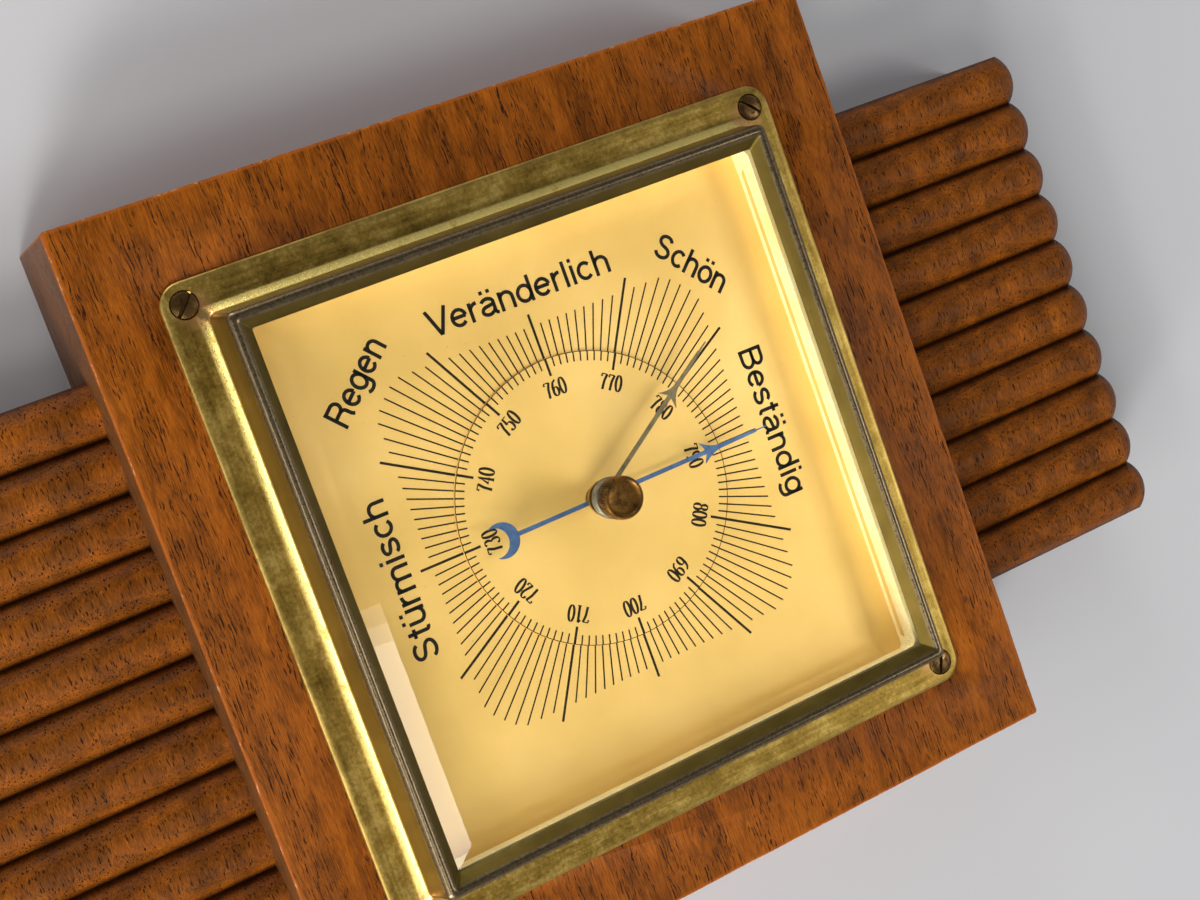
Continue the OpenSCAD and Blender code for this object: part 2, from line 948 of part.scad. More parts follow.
module set_bush() {
    bore_len = glass_front - sleeve_end + collar_h + 2 * past;
    color(grey_metal)
        difference() {
            union() {
                rod(0, 0, glass_front, collar_h, collar_r);
                rod(0, 0, sleeve_end, glass_front - sleeve_end + lap, sleeve_r);
            }
            rod(0, 0, sleeve_end - past, bore_len, spindle_r + running_gap);
        }
}

module bush_nut() {
    color(bright_brass)
        difference() {
            rod(0, 0, glass_back - bush_nut_t, bush_nut_t, bush_nut_r);
            rod(0, 0, sleeve_end - past, glass_t, sleeve_r + snug_gap / 2);
        }
}

// Arbor of the pointer, its plates and the hairspring

module arbor() {
    color(grey_metal)
        rod(0, 0, plate_back - arbor_pivot, pointer_front - plate_back + arbor_pivot, arbor_r);
}

module chain_drum() {
    drum_back = chain_depth - drum_h / 2;
    color(bright_brass)
        difference() {
            union() {
                rod(0, 0, drum_back - drum_flange_t, drum_flange_t, drum_flange_r);
                rod(0, 0, drum_back, drum_h, drum_r);
                rod(0, 0, drum_back + drum_h, drum_flange_t, drum_flange_r);
            }
            rod(0, 0, drum_back - past, drum_h + 2 * past, arbor_r + snug_gap / 2);
        }
}

module hairspring_collet() {
    color(bright_brass)
        difference() {
            rod(0, 0, hairspring_back - (collet_h - hairspring_h) / 2, collet_h, collet_r);
            rod(0, 0, hairspring_back - past, collet_h + 2 * past, arbor_r + snug_gap / 2);
        }
}

function spiral(radius, turn) =
    let (r = radius + turn * hairspring_pitch, a = turn * 360 - 90)
    [r * cos(a), r * sin(a)];

module hairspring() {
    steps = hairspring_turns * spiral_steps;
    outside = [for (i = [0 : steps]) spiral(hairspring_r + hairspring_w / 2, i / spiral_steps)];
    inside = [for (i = [steps : -1 : 0]) spiral(hairspring_r - hairspring_w / 2, i / spiral_steps)];
    color(blued_steel)
        slab(hairspring_back, hairspring_h)
            polygon(concat(outside, inside));
}

module hairspring_stud() {
    color(bright_brass)
        slab(plate_front, hairspring_back + hairspring_h - plate_front)
            translate([-stud_w / 2, -hairspring_out_r - hairspring_w / 2 - snug_gap - stud_w])
                square(stud_w);
}

module plate_screw_places(depth, x) {
    out_from_wall(depth)
        for (side = [-1, 1])
            translate([side * x, 0])
                children();
}

module arbor_plate() {
    color(bright_brass)
        difference() {
            slab(plate_back, plate_t) {
                square([2 * (plate_pillar_x + plate_rim), plate_w], center = true);
                circle(cock_pillar_x + boss_rim);
            }
            rod(0, 0, plate_back - past, plate_t + 2 * past, arbor_r + running_gap);
            plate_screw_places(plate_back - past, plate_pillar_x)
                cylinder(h = plate_t + 2 * past, r = small_shank_r + snug_gap);
            plate_screw_places(plate_back - past, cock_pillar_x)
                cylinder(h = plate_t + 2 * past, r = small_shank_r + snug_gap);
        }
}

module plate_pillars() {
    color(bright_brass)
        difference() {
            union() {
                plate_screw_places(base_front, plate_pillar_x)
                    cylinder(h = plate_back - base_front, r = pillar_r);
                plate_screw_places(base_depth, plate_pillar_x)
                    cylinder(h = base_t + lap, r = tenon_r);
            }
            plate_screw_places(plate_back - plate_screw_len, plate_pillar_x)
                cylinder(h = plate_screw_len + past, r = small_shank_r + snug_gap);
        }
}

module plate_screws() {
    color(grey_metal)
        plate_screw_places(plate_front, plate_pillar_x)
            cheese_screw(small_shank_r, plate_screw_len, head_h);
}

module cock_pillars() {
    color(bright_brass)
        difference() {
            plate_screw_places(plate_front, cock_pillar_x)
                cylinder(h = cock_back - plate_front, r = cock_pillar_r);
            plate_screw_places(plate_front - past, cock_pillar_x)
                cylinder(h = cock_back - plate_front + 2 * past, r = tiny_shank_r + snug_gap);
        }
}

module front_cock() {
    color(bright_brass)
        difference() {
            slab(cock_back, plate_t)
                square([2 * (cock_pillar_x + cock_rim), cock_w], center = true);
            rod(0, 0, cock_back - past, plate_t + 2 * past, arbor_r + running_gap);
            plate_screw_places(cock_back - past, cock_pillar_x)
                cylinder(h = plate_t + 2 * past, r = tiny_shank_r + snug_gap);
        }
}

// Long screws through the cock and its pillars into the arbor plate
module cock_screws() {
    color(grey_metal)
        plate_screw_places(cock_front, cock_pillar_x)
            cheese_screw(tiny_shank_r, cock_front - plate_back, cock_screw_h);
}

// Base plate, capsule and main spring

module base_plate() {
    color(bright_brass)
        difference() {
            rod(0, 0, base_depth, base_t, base_r);
            foot_places(base_depth - past)
                cylinder(h = base_t + 2 * past, r = small_shank_r + snug_gap);
            plate_screw_places(base_depth - past, plate_pillar_x)
                cylinder(h = base_t + 2 * past, r = tenon_r + snug_gap);
            rod(0, 0, base_depth - past, base_t + 2 * past, pillar_r + snug_gap);
            rod(0, adjuster_z, base_depth - past, base_t + 2 * past, adjuster_r + running_gap);
            bridge_screw_places(base_depth - past)
                cylinder(h = base_t + 2 * past, r = small_shank_r + snug_gap);
            bracket_screw_places(base_depth - past)
                cylinder(h = base_t + 2 * past, r = small_shank_r + snug_gap);
        }
}

// Depth of the corrugations at a given radius, as a share of their height
function capsule_wave(r) =
    1 - cos(360 * corrugations * (r - capsule_hub_r) / (capsule_edge_r - capsule_hub_r));

module capsule() {
    steps = 8 * corrugations;
    inner = capsule_hub_r;
    outer = capsule_edge_r;
    radii = [for (i = [0 : steps]) inner + (outer - inner) * i / steps];
    half = capsule_t / 2;
    front = [for (r = radii) [r, half - wave_h * capsule_wave(r)]];
    back = [for (i = [steps : -1 : 0]) [radii[i], wave_h * capsule_wave(radii[i]) - half]];
    color(bright_brass) {
        out_from_wall(capsule_back + half)
            rotate_extrude()
                polygon(concat(
                    [[0, half]],
                    front,
                    [[outer, seam_h], [capsule_r, seam_h], [capsule_r, -seam_h], [outer, -seam_h]],
                    back,
                    [[0, -half]]
                ));
        rod(0, 0, base_front, hub_h + lap, inner);
        rod(0, 0, base_depth - capsule_nut_t, base_t + capsule_nut_t + lap, pillar_r);
    }
}

module capsule_nut() {
    color(grey_metal)
        difference() {
            out_from_wall(base_depth - capsule_nut_t)
                cylinder(h = capsule_nut_t, r = capsule_nut_r, $fn = 6);
            rod(0, 0, base_depth - capsule_nut_t - past, capsule_nut_t + 2 * past, pillar_r + snug_gap);
        }
}

module capsule_post() {
    post_back = capsule_front + spring_gap;
    color(bright_brass) {
        rod(0, 0, post_back, spring_front + post_nut_t - post_back, post_r);
        rod(0, 0, spring_back - snug_gap - post_collar_t, post_collar_t, post_collar_r);
    }
}

module post_nut() {
    color(grey_metal)
        difference() {
            out_from_wall(spring_front)
                cylinder(h = post_nut_t, r = post_collar_r, $fn = 6);
            rod(0, 0, spring_front - past, post_nut_t + 2 * past, post_r + snug_gap);
        }
}

module bridge_screw_places(depth) {
    out_from_wall(depth)
        for (side = [-1, 1])
            translate([side * bridge_screw_x, bridge_screw_z])
                children();
}

module clamp_screw_places(depth) {
    out_from_wall(depth)
        for (side = [-1, 1])
            translate([side * (spring_root_w / 2 + clamp_screw_out), bridge_root_t / 2 - bridge_root])
                children();
}

module spring_bridge() {
    color(aged_brass)
        difference() {
            union() {
                slab(base_front, bridge_foot_t)
                    translate([-bridge_w / 2, -bridge_foot_end])
                        square([bridge_w, bridge_foot_end - bridge_root + lap]);
                slab(base_front, bridge_h)
                    translate([-bridge_w / 2, -bridge_root])
                        square([bridge_w, bridge_root_t]);
            }
            rod(0, adjuster_z, base_front - past, bridge_foot_t + 2 * past, adjuster_r + running_gap);
            bridge_screw_places(base_front - past)
                cylinder(h = bridge_foot_t + past, r = small_shank_r + snug_gap);
            clamp_screw_places(bridge_top - clamp_hole)
                cylinder(h = clamp_hole + past, r = tiny_shank_r + snug_gap);
        }
}

module bridge_screws() {
    color(grey_metal)
        bridge_screw_places(base_depth)
            rotate([180, 0, 0])
                cheese_screw(small_shank_r, base_t + bridge_foot_t - screw_short, head_h);
}

module main_spring() {
    color(blued_steel)
        difference() {
            slab(spring_back, spring_t)
                polygon([
                    [-spring_root_w / 2, lever_pivot_z - spring_root],
                    [spring_root_w / 2, lever_pivot_z - spring_root],
                    [spring_root_w / 2, lever_pivot_z + spring_neck],
                    [spring_w / 2, lever_pivot_z + spring_shoulder],
                    [spring_w / 2, spring_taper_z],
                    [spring_end_w / 2, spring_end_z],
                    [-spring_end_w / 2, spring_end_z],
                    [-spring_w / 2, spring_taper_z],
                    [-spring_w / 2, lever_pivot_z + spring_shoulder],
                    [-spring_root_w / 2, lever_pivot_z + spring_neck]
                ]);
            rod(0, 0, spring_back - past, spring_t + 2 * past, post_r + snug_gap);
            for (z = lever_screw_z)
                rod(0, z, spring_back - past, spring_t + 2 * past, lever_shank_r + snug_gap);
        }
}

// Cap over the root of the spring, standing on the bridge at both sides of it
module spring_clamp() {
    color(aged_brass)
        difference() {
            slab(bridge_top, clamp_back + clamp_t - bridge_top)
                translate([-bridge_w / 2, -bridge_root])
                    square([bridge_w, bridge_root_t]);
            slab(bridge_top - past, clamp_back - bridge_top + past)
                translate([-spring_root_w / 2 - clamp_room, -bridge_root - past])
                    square([spring_root_w + 2 * clamp_room, bridge_root_t + 2 * past]);
            clamp_screw_places(bridge_top - past)
                cylinder(h = clamp_back + clamp_t - bridge_top + 2 * past, r = tiny_shank_r + snug_gap);
        }
}

module clamp_screws() {
    color(grey_metal)
        clamp_screw_places(clamp_back + clamp_t)
            cheese_screw(tiny_shank_r, clamp_back + clamp_t - bridge_top + clamp_screw_in, cock_screw_h);
}

module main_lever() {
    color(bright_brass)
        difference() {
            slab(spring_front, lever_t)
                polygon([
                    [-lever_w / 2, lever_root_z],
                    [lever_w / 2, lever_root_z],
                    [lever_w / 2 + lever_knee_out, lever_knee_z],
                    [link_x + lever_end_w / 2, lever_tip_z - lever_end_h / 2],
                    [link_x + lever_end_w / 2, lever_tip_z + lever_end_h / 2],
                    [link_x - lever_end_w / 2, lever_tip_z + lever_end_h / 2],
                    [-lever_w / 2, lever_bend_z]
                ]);
            for (z = lever_screw_z)
                rod(0, z, spring_front - past, lever_t + 2 * past, lever_shank_r + snug_gap);
            rod(link_x, lever_tip_z, spring_front - past, lever_t + 2 * past, link_pin_r + snug_gap);
        }
}

module lever_screws() {
    color(grey_metal)
        for (z = lever_screw_z)
            out_from_wall(lever_front)
                translate([0, z, 0])
                    cheese_screw(lever_shank_r, lever_t + spring_t + lever_screw_out, cock_screw_h);
}

module connecting_link() {
    pin_len = link_pin_in + lever_t + link_pin_out;
    color(grey_metal)
        difference() {
            union() {
                along_x(link_x - link_w / 2, lever_tip_z, rocker_depth)
                    cylinder(h = link_w, r = link_eye_r);
                translate([link_x - link_w / 2, -spring_front + snug_gap, lever_tip_z - link_h / 2])
                    cube([link_w, spring_front - snug_gap - rocker_depth, link_h]);
                rod(link_x, lever_tip_z, spring_front - link_pin_in, pin_len, link_pin_r);
            }
            along_x(link_x - link_w / 2 - past, lever_tip_z, rocker_depth)
                cylinder(h = link_w + 2 * past, r = link_pin_r + link_eye_gap);
        }
}

// Rocking shaft with its two arms

module rocking_shaft() {
    color(grey_metal) {
        along_x(-rocker_half, rocker_z, rocker_depth)
            cylinder(h = 2 * rocker_half, r = rocker_r);
        along_x(-bracket_x - bracket_t - rocker_end, rocker_z, rocker_depth)
            cylinder(h = 2 * (bracket_x + bracket_t + rocker_end), r = rocker_pivot_r);
    }
}

module link_arm() {
    arm_x = link_x - link_w / 2 - link_side_gap - arm_t;
    color(bright_brass) {
        difference() {
            union() {
                along_x(arm_x, rocker_z, rocker_depth)
                    cylinder(h = arm_t, r = rocker_hub_r);
                along_x(arm_x, lever_tip_z, rocker_depth)
                    cylinder(h = arm_t, r = link_arm_end_r);
                translate([arm_x, -rocker_depth - link_arm_w / 2, rocker_z])
                    cube([arm_t, link_arm_w, link_arm_len]);
            }
            along_x(arm_x - past, rocker_z, rocker_depth)
                cylinder(h = arm_t + 2 * past, r = rocker_r + snug_gap / 2);
        }
        along_x(arm_x + arm_t / 2, lever_tip_z, rocker_depth)
            cylinder(h = arm_t / 2 + link_side_gap + link_w + link_pin_end, r = link_pin_r);
    }
}

module chain_arm() {
    color(bright_brass)
        difference() {
            union() {
                along_x(chain_x - arm_t / 2, rocker_z, rocker_depth)
                    cylinder(h = arm_t, r = rocker_hub_r);
                translate([chain_x - arm_t / 2, -chain_depth - chain_arm_end, rocker_z - chain_arm_w / 2])
                    cube([arm_t, chain_arm_len + chain_arm_end, chain_arm_w]);
            }
            along_x(chain_x - arm_t / 2 - past, rocker_z, rocker_depth)
                cylinder(h = arm_t + 2 * past, r = rocker_r + snug_gap / 2);
        }
}

module bracket_screw_places(depth) {
    out_from_wall(depth)
        for (side = [-1, 1])
            translate([side * (bracket_x + bracket_t + bracket_foot / 2), rocker_z])
                children();
}

module rocker_brackets() {
    color(bright_brass)
        difference() {
            for (side = [-1, 1])
                out_from_wall(base_front)
                    translate([side * (bracket_x + bracket_t / 2), rocker_z, 0]) {
                        translate([-bracket_t / 2, -bracket_w / 2, 0])
                            cube([bracket_t, bracket_w, rocker_depth - base_front + bracket_over]);
                        translate([side * (bracket_t + bracket_foot) / 2, 0, bracket_foot_t / 2])
                            cube([bracket_foot + 2 * lap, bracket_w, bracket_foot_t], center = true);
                    }
            along_x(-bracket_x - bracket_t - past, rocker_z, rocker_depth)
                cylinder(h = 2 * (bracket_x + bracket_t + past), r = rocker_pivot_r + running_gap);
            bracket_screw_places(base_front - past)
                cylinder(h = bracket_foot_t + 2 * past, r = small_shank_r + snug_gap);
        }
}

module bracket_screws() {
    color(grey_metal)
        bracket_screw_places(base_front + bracket_foot_t)
            cheese_screw(small_shank_r, bracket_foot_t + base_t, head_h);
}

// Chain from the drum to the long arm
module chain() {
    color(grey_metal)
        translate([chain_x, -chain_depth, 0])
            cylinder(h = rocker_z - chain_arm_w / 2 - snug_gap, r = chain_r);
}

module adjusting_screw() {
    head_front = base_depth - adjuster_gap;
    shank_end = base_front + bridge_foot_t - lap;
    color(grey_metal)
        difference() {
            union() {
                rod(0, adjuster_z, head_front - adjuster_head_h, adjuster_head_h, adjuster_head_r);
                rod(0, adjuster_z, head_front - lap, shank_end - head_front + lap, adjuster_r);
            }
            out_from_wall(head_front - adjuster_head_h - past)
                translate([-adjuster_head_r - past, adjuster_z - adjuster_slot / 2, 0])
                    cube([2 * (adjuster_head_r + past), adjuster_slot, past + adjuster_slot]);
        }
}

case_body();
left_wing();
right_wing();
wing_dowels();
back_cover();
cover_screws();
hanger_plate();
hanger_screws();
bezel();
bezel_screws();
glass();
glass_slip();
dial_plate();
scale_disc();
dial_feet();
foot_screws();
set_bush();
bush_nut();
set_knob();
set_hand();
pointer();
pointer_bush();
arbor();
chain_drum();
hairspring_collet();
hairspring();
hairspring_stud();
arbor_plate();
plate_pillars();
plate_screws();
front_cock();
cock_pillars();
cock_screws();
base_plate();
capsule();
capsule_nut();
capsule_post();
post_nut();
spring_bridge();
bridge_screws();
main_spring();
spring_clamp();
clamp_screws();
main_lever();
lever_screws();
connecting_link();
rocking_shaft();
link_arm();
chain_arm();
rocker_brackets();
bracket_screws();
chain();
adjusting_screw();
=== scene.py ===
"""Wall barometer: square bevelled dial in a pressed brass bezel, on an oak case with reeded oak wings.

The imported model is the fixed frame. The instrument hangs on the wall plane Y = 0, with the hands' axis
along Y through the origin. Helper functions take millimetres as x, z and the depth in front of the wall.
"""

import json
import math

import bmesh
import bpy
from mathutils import Matrix, Vector, noise


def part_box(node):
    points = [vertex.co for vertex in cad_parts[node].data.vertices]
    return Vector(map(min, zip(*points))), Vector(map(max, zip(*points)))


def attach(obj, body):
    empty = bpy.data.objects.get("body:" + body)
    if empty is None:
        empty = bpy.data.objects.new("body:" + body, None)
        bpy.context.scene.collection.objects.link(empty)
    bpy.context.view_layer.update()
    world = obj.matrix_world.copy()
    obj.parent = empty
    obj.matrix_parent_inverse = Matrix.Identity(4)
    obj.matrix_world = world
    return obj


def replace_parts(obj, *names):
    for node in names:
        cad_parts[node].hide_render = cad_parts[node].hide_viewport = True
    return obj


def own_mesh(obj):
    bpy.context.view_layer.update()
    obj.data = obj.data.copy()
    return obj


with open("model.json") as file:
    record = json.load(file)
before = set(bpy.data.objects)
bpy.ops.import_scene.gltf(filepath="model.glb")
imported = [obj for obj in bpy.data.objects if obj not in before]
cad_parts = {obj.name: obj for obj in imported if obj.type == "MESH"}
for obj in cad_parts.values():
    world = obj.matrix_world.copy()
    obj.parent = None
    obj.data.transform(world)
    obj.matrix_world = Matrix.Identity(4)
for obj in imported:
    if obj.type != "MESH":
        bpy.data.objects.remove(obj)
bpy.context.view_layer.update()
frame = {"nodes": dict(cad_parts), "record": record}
nodes = frame["nodes"]

MM = 0.001


def reach(node):
    """Half width, half height, least depth and greatest depth of a CAD node, in millimetres."""
    low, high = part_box(node)
    return high.x / MM, high.z / MM, -high.y / MM, -low.y / MM


case_half_w, case_half_h, _, case_front = reach("case_body")
bezel_half, _, _, bezel_crest = reach("bezel")
disc_r, _, dial_front, disc_front = reach("scale_disc")
knob_r, _, _, knob_front = reach("set_knob")
collar_r, _, collar_back, collar_front = reach("set_bush")
glass_front = reach("glass")[3]
reed_top = reach("right_wing")[3]

# Camera of the photograph, solved from the edges of case, bezel, glass and scale, in millimetres
CAMERA_AT = (-130.08, -373.98, 51.52)
CAMERA_FORWARD = (0.36702, 0.92263, -0.11855)
CAMERA_UP = (0.35674, -0.02191, 0.93394)
CAMERA_LENS = 57.33
SENSOR_WIDTH = 36

# Edges sharper than this stay sharp, in degrees
SMOOTH_ANGLE = 35

# Bezel section, outward from the window's edge and forward from the case
WINDOW = 52.8
SHEET = 0.8
BEAD_R = 1.1
BEAD_HOLLOW_R = 0.35
BEAD_TURN = 130
WALL_OUT = 3.4
FOLD_IN = 4.3
FOLD_OUT = 6.1
FOLD_H = 1.05
FLANGE_OUT = bezel_half - WINDOW
INNER_CORNER_R = 0.5
CORNER_GROWTH = 0.22
OUTER_CORNER_R = 4.5
# The flange's edge as inset and rise, the fold as out and rise, and the slope to the glass as out and drop
FLANGE_EDGE = ((0.05, 0.0), (0.0, 0.25), (0.08, 0.55), (0.28, 0.74), (0.6, SHEET))
FOLD = (
    (FOLD_OUT + 0.25, 0.0), (FOLD_OUT, 0.03), (FOLD_OUT - 0.25, 0.12), (FOLD_IN + 0.3, FOLD_H - 0.12),
    (FOLD_IN + 0.12, FOLD_H), (FOLD_IN, FOLD_H + 0.22), (FOLD_IN - 0.08, FOLD_H + 0.6),
)
GLASS_SLOPE = (
    (0.9, 0.84), (0.2, 1.43), (-0.42, 1.95), (-0.50, 2.06), (-0.46, 2.15), (0.0, 2.18), (0.9, 2.15),
)

# Screws of the bezel: side in x, side in z and turn of the slot in degrees
SCREW_SLOTS = ((-1, 1, 48), (1, 1, -42), (1, -1, 70), (-1, -1, 15))
SCREW_INSET = 4.35
SCREW_AT = bezel_half - SCREW_INSET
SCREW_HEAD_R = 2.45
SCREW_SHANK_R = 1.4
SCREW_LENGTH = 7
SLOT_HALF_LENGTH = 4
# Depth from the head's face and half width of the slot, worn wider at its mouth
SLOT_ROWS = ((-0.35, 0.26), (0.15, 0.29), (0.6, 0.42))

# Print on the dial: start radius, half side of the square where the tick ends, and width
INK_T = 0.02
TICKS = 120
MAJOR_EVERY = 10
MAJOR_TICK = (24.8, 37.2, 0.5)
MINOR_TICK = (26.3, 34.9, 0.29)
MINOR_END = 45.5
DISC_LINE = (disc_r - 0.16, disc_r - 0.02)
DISC_GAP = 0.04
NUMERAL_FOOT = 20.75

# Knob and bush: rows are inset, height above the foot or drop below the top, and share of the teeth
SPINDLE_R = 1.2
KNOB_GAP = 0.2
KNOB_TEETH = 60
TOOTH_STEPS = 6
TOOTH_DEPTH = 0.16
KNOB_FOOT = (
    (0.95, 0.0, 0), (0.8, 0.12, 0), (0.8, 0.75, 0), (0.35, 0.9, 0), (0.12, 1.0, 0.5), (0.0, 1.15, 1),
)
KNOB_RIM = (
    (0.0, 0.42, 1), (0.10, 0.22, 0.8), (0.26, 0.06, 0.2), (0.42, 0.0, 0), (0.60, 0.03, 0), (0.75, 0.16, 0),
)
DISH_EDGE = 0.22
DISH_DEPTH = 0.32
BUSH_BORE = 1.25
SLEEVE_R = 2.4

# Chain of the movement, with the share of its radius that it keeps at the necks between beads
CHAIN_BEADS = 44
BEAD_ROWS = 6
BEAD_SIDES = 12
NECK_SHARE = 0.45


# Colours and nodes

def linear(channel):
    c = channel / 255
    return c / 12.92 if c <= 0.04045 else ((c + 0.055) / 1.055) ** 2.4


def rgb(red, green, blue):
    """A colour written as the screen shows it, 0 to 255, turned into Blender's linear values."""
    return (linear(red), linear(green), linear(blue), 1.0)


class Surface:
    """A procedural material, with short calls for its nodes. Its position is in millimetres."""

    def __init__(self, name):
        self.material = bpy.data.materials.new(name)
        self.material.use_nodes = True
        self.tree = self.material.node_tree
        self.shader = self.tree.nodes["Principled BSDF"]
        self.output = self.tree.nodes["Material Output"]
        metres = self.node("TexCoord").outputs["Object"]
        self.position = self.vector("MULTIPLY", metres, (1 / MM, 1 / MM, 1 / MM))
        self.x, self.y, self.z = self.node("SeparateXYZ", Vector=self.position).outputs

    def node(self, kind, settings=None, **inputs):
        made = self.tree.nodes.new("ShaderNode" + kind)
        for key, value in (settings or {}).items():
            setattr(made, key, value)
        for key, value in inputs.items():
            self.feed(made.inputs[key.replace("_", " ")], value)
        return made

    def feed(self, socket, value):
        if isinstance(value, bpy.types.NodeSocket):
            self.tree.links.new(value, socket)
        else:
            socket.default_value = value

    def math(self, operation, *values):
        made = self.node("Math", {"operation": operation})
        for socket, value in zip(made.inputs, values):
            self.feed(socket, value)
        return made.outputs[0]

    def times(self, first, second):
        return self.math("MULTIPLY", first, second)

    def times_add(self, first, second, third):
        """First times second, plus third."""
        return self.math("MULTIPLY_ADD", first, second, third)

    def minus(self, first, second):
        return self.math("SUBTRACT", first, second)

    def absolute(self, value):
        return self.math("ABSOLUTE", value)

    def vector(self, operation, first, second):
        made = self.node("VectorMath", {"operation": operation})
        self.feed(made.inputs[0], first)
        self.feed(made.inputs[1], second)
        return made.outputs["Value" if operation == "DOT_PRODUCT" else "Vector"]

    def stretch(self, size, moved=None):
        """Position divided by a grain size, the same along each axis or one for each."""
        along = size if isinstance(size, tuple) else (size, size, size)
        return self.vector("MULTIPLY", moved or self.position, [1 / length for length in along])

    def noise(self, size, detail, roughness=0.55, moved=None):
        at = self.stretch(size, moved)
        made = self.node("TexNoise", Vector=at, Scale=1.0, Detail=detail, Roughness=roughness)
        return made.outputs["Fac"]

    def cells(self, size, moved=None):
        """Distance to the nearest of many scattered points, and a chance from 0 to 1 for each."""
        at = self.stretch(size, moved)
        made = self.node("TexVoronoi", Vector=at, Scale=1.0, Randomness=1.0)
        split = self.node("SeparateColor", Color=made.outputs["Color"])
        return made.outputs["Distance"], split.outputs["Red"]

    def step(self, value, low, high, start=0.0, end=1.0):
        """Start below low, end above high, and a smooth ramp between."""
        limits = {"From_Min": low, "From_Max": high, "To_Min": start, "To_Max": end}
        made = self.node("MapRange", {"interpolation_type": "SMOOTHSTEP"}, Value=value, **limits)
        return made.outputs["Result"]

    def fall(self, value, low, high):
        """1 below low, 0 above high, and a smooth ramp between."""
        return self.step(value, low, high, 1.0, 0.0)

    def ramp(self, value, stops):
        made = self.node("ValToRGB", Fac=value)
        elements = made.color_ramp.elements
        while len(elements) < len(stops):
            elements.new(0.5)
        for element, (at, colour) in zip(elements, stops):
            element.position = at
            element.color = colour
        return made.outputs["Color"]

    def mix(self, share, first, second):
        """From the first colour towards the second."""
        made = self.node("Mix", {"data_type": "RGBA", "clamp_result": True})
        for index, value in ((0, share), (6, first), (7, second)):
            self.feed(made.inputs[index], value)
        return made.outputs[2]

    def bump(self, height, distance):
        """Bump of a height from 0 to 1, distance millimetres deep."""
        made = self.node("Bump", Strength=1.0, Distance=distance * MM, Height=height)
        return made.outputs["Normal"]

    def finish(self, colour, roughness, normal=None, **others):
        inputs = {"Base Color": colour, "Roughness": roughness, **others}
        if normal is not None:
            inputs["Normal"] = normal
        for key, value in inputs.items():
            self.feed(self.shader.inputs[key.replace("_", " ")], value)
        return self.material

    def see_through(self, share, clear):
        """Mixes the finished shader with a clear one, by a share from 0 to 1."""
        both = self.node("MixShader")
        for index, value in enumerate((share, self.shader.outputs[0], clear.outputs[0])):
            self.feed(both.inputs[index], value)
        self.feed(self.output.inputs["Surface"], both.outputs[0])
        return self.material


# Oak

OAK_FRONT = (rgb(184, 102, 22), rgb(156, 83, 13), rgb(94, 49, 9))
OAK_WING = (rgb(182, 98, 14), rgb(134, 72, 10), rgb(84, 45, 9))
OAK_STOPS = (0.70, 0.54, 0.37)
WING_RING_LINE = rgb(150, 76, 14)
PORE_DARK = rgb(38, 17, 6)
# Painted shade for the grooves between the reeds
GROOVE_SHADE = rgb(40, 18, 6)
SIDE_GREY = rgb(84, 60, 38)
RUBBED_OAK = rgb(176, 92, 24)
BARE_OAK = rgb(214, 160, 112)
PORE_DEPTH = 0.30


def rings_of(s, across, width, drift_size, drift, wave):
    """Phase of the growth rings, 0 to 1 from one spring wood to the next."""
    slow = s.noise((drift_size, drift_size, 3 * drift_size), 2)
    quick = s.noise((4, 4, 14), 2)
    rings = s.math("DIVIDE", s.vector("DOT_PRODUCT", s.position, across), width)
    rings = s.times_add(slow, drift, rings)
    return s.math("FRACT", s.times_add(quick, wave, rings))


def vessels(s, moved, across, along, size, share, band):
    """Cells stretched along the grain, of which a share is kept, more in the band."""
    distance, chance = s.cells((across, across, along), moved)
    kept = s.step(s.times_add(band, 0.6, chance), 1.0 - share, 1.06 - share)
    return s.times(s.fall(distance, size, size + 0.12), kept)


def long_vessels(s, moved, pitch, band):
    """Wavering lines of vessels side by side along the grain, each with its own breaks."""
    x, y, _ = s.node("SeparateXYZ", Vector=moved).outputs
    run = s.math("DIVIDE", s.times_add(y, 0.6, x), pitch)
    number = s.times(s.math("FLOOR", run), 3.7)
    off = s.absolute(s.minus(s.math("FRACT", run), 0.5))
    layer_y = s.math("DIVIDE", s.y, 4.0)
    layer_z = s.math("DIVIDE", s.z, 5.5)
    spot = s.node("CombineXYZ", X=number, Y=layer_y, Z=layer_z)
    breaks = s.noise(1, 4, 0.75, spot.outputs[0])
    width = s.step(breaks, 0.46, 0.64, 0.0, 0.20)
    return s.times(s.step(s.minus(width, off), 0.0, 0.08), s.step(band, 0.25, 0.6))


def case_pores(s, moved, band):
    """Long wavering lines of vessels, with finer ones between them."""
    fine = vessels(s, moved, 0.50, 4.4, 0.11, 0.46, band)
    return s.math("MAXIMUM", long_vessels(s, moved, 0.72, band), s.times(fine, 0.85))


def wing_pores(s, moved, band):
    """Short vessels, cut to dots where the flanks of the reeds run across the grain."""
    fine = vessels(s, moved, 0.40, 3.0, 0.12, 0.60, band)
    return s.math("MAXIMUM", vessels(s, moved, 0.60, 4.6, 0.125, 0.80, band), s.times(fine, 0.85))


def edge_nearness(s):
    """Distance to the case's nearest outer edge: the middle one of three face distances."""
    a = s.minus(case_half_w, s.absolute(s.x))
    b = s.minus(case_half_h, s.absolute(s.z))
    c = s.math("ADD", case_front, s.y)
    return s.math("MAXIMUM", s.math("MINIMUM", a, b), s.math("MINIMUM", s.math("MAXIMUM", a, b), c))


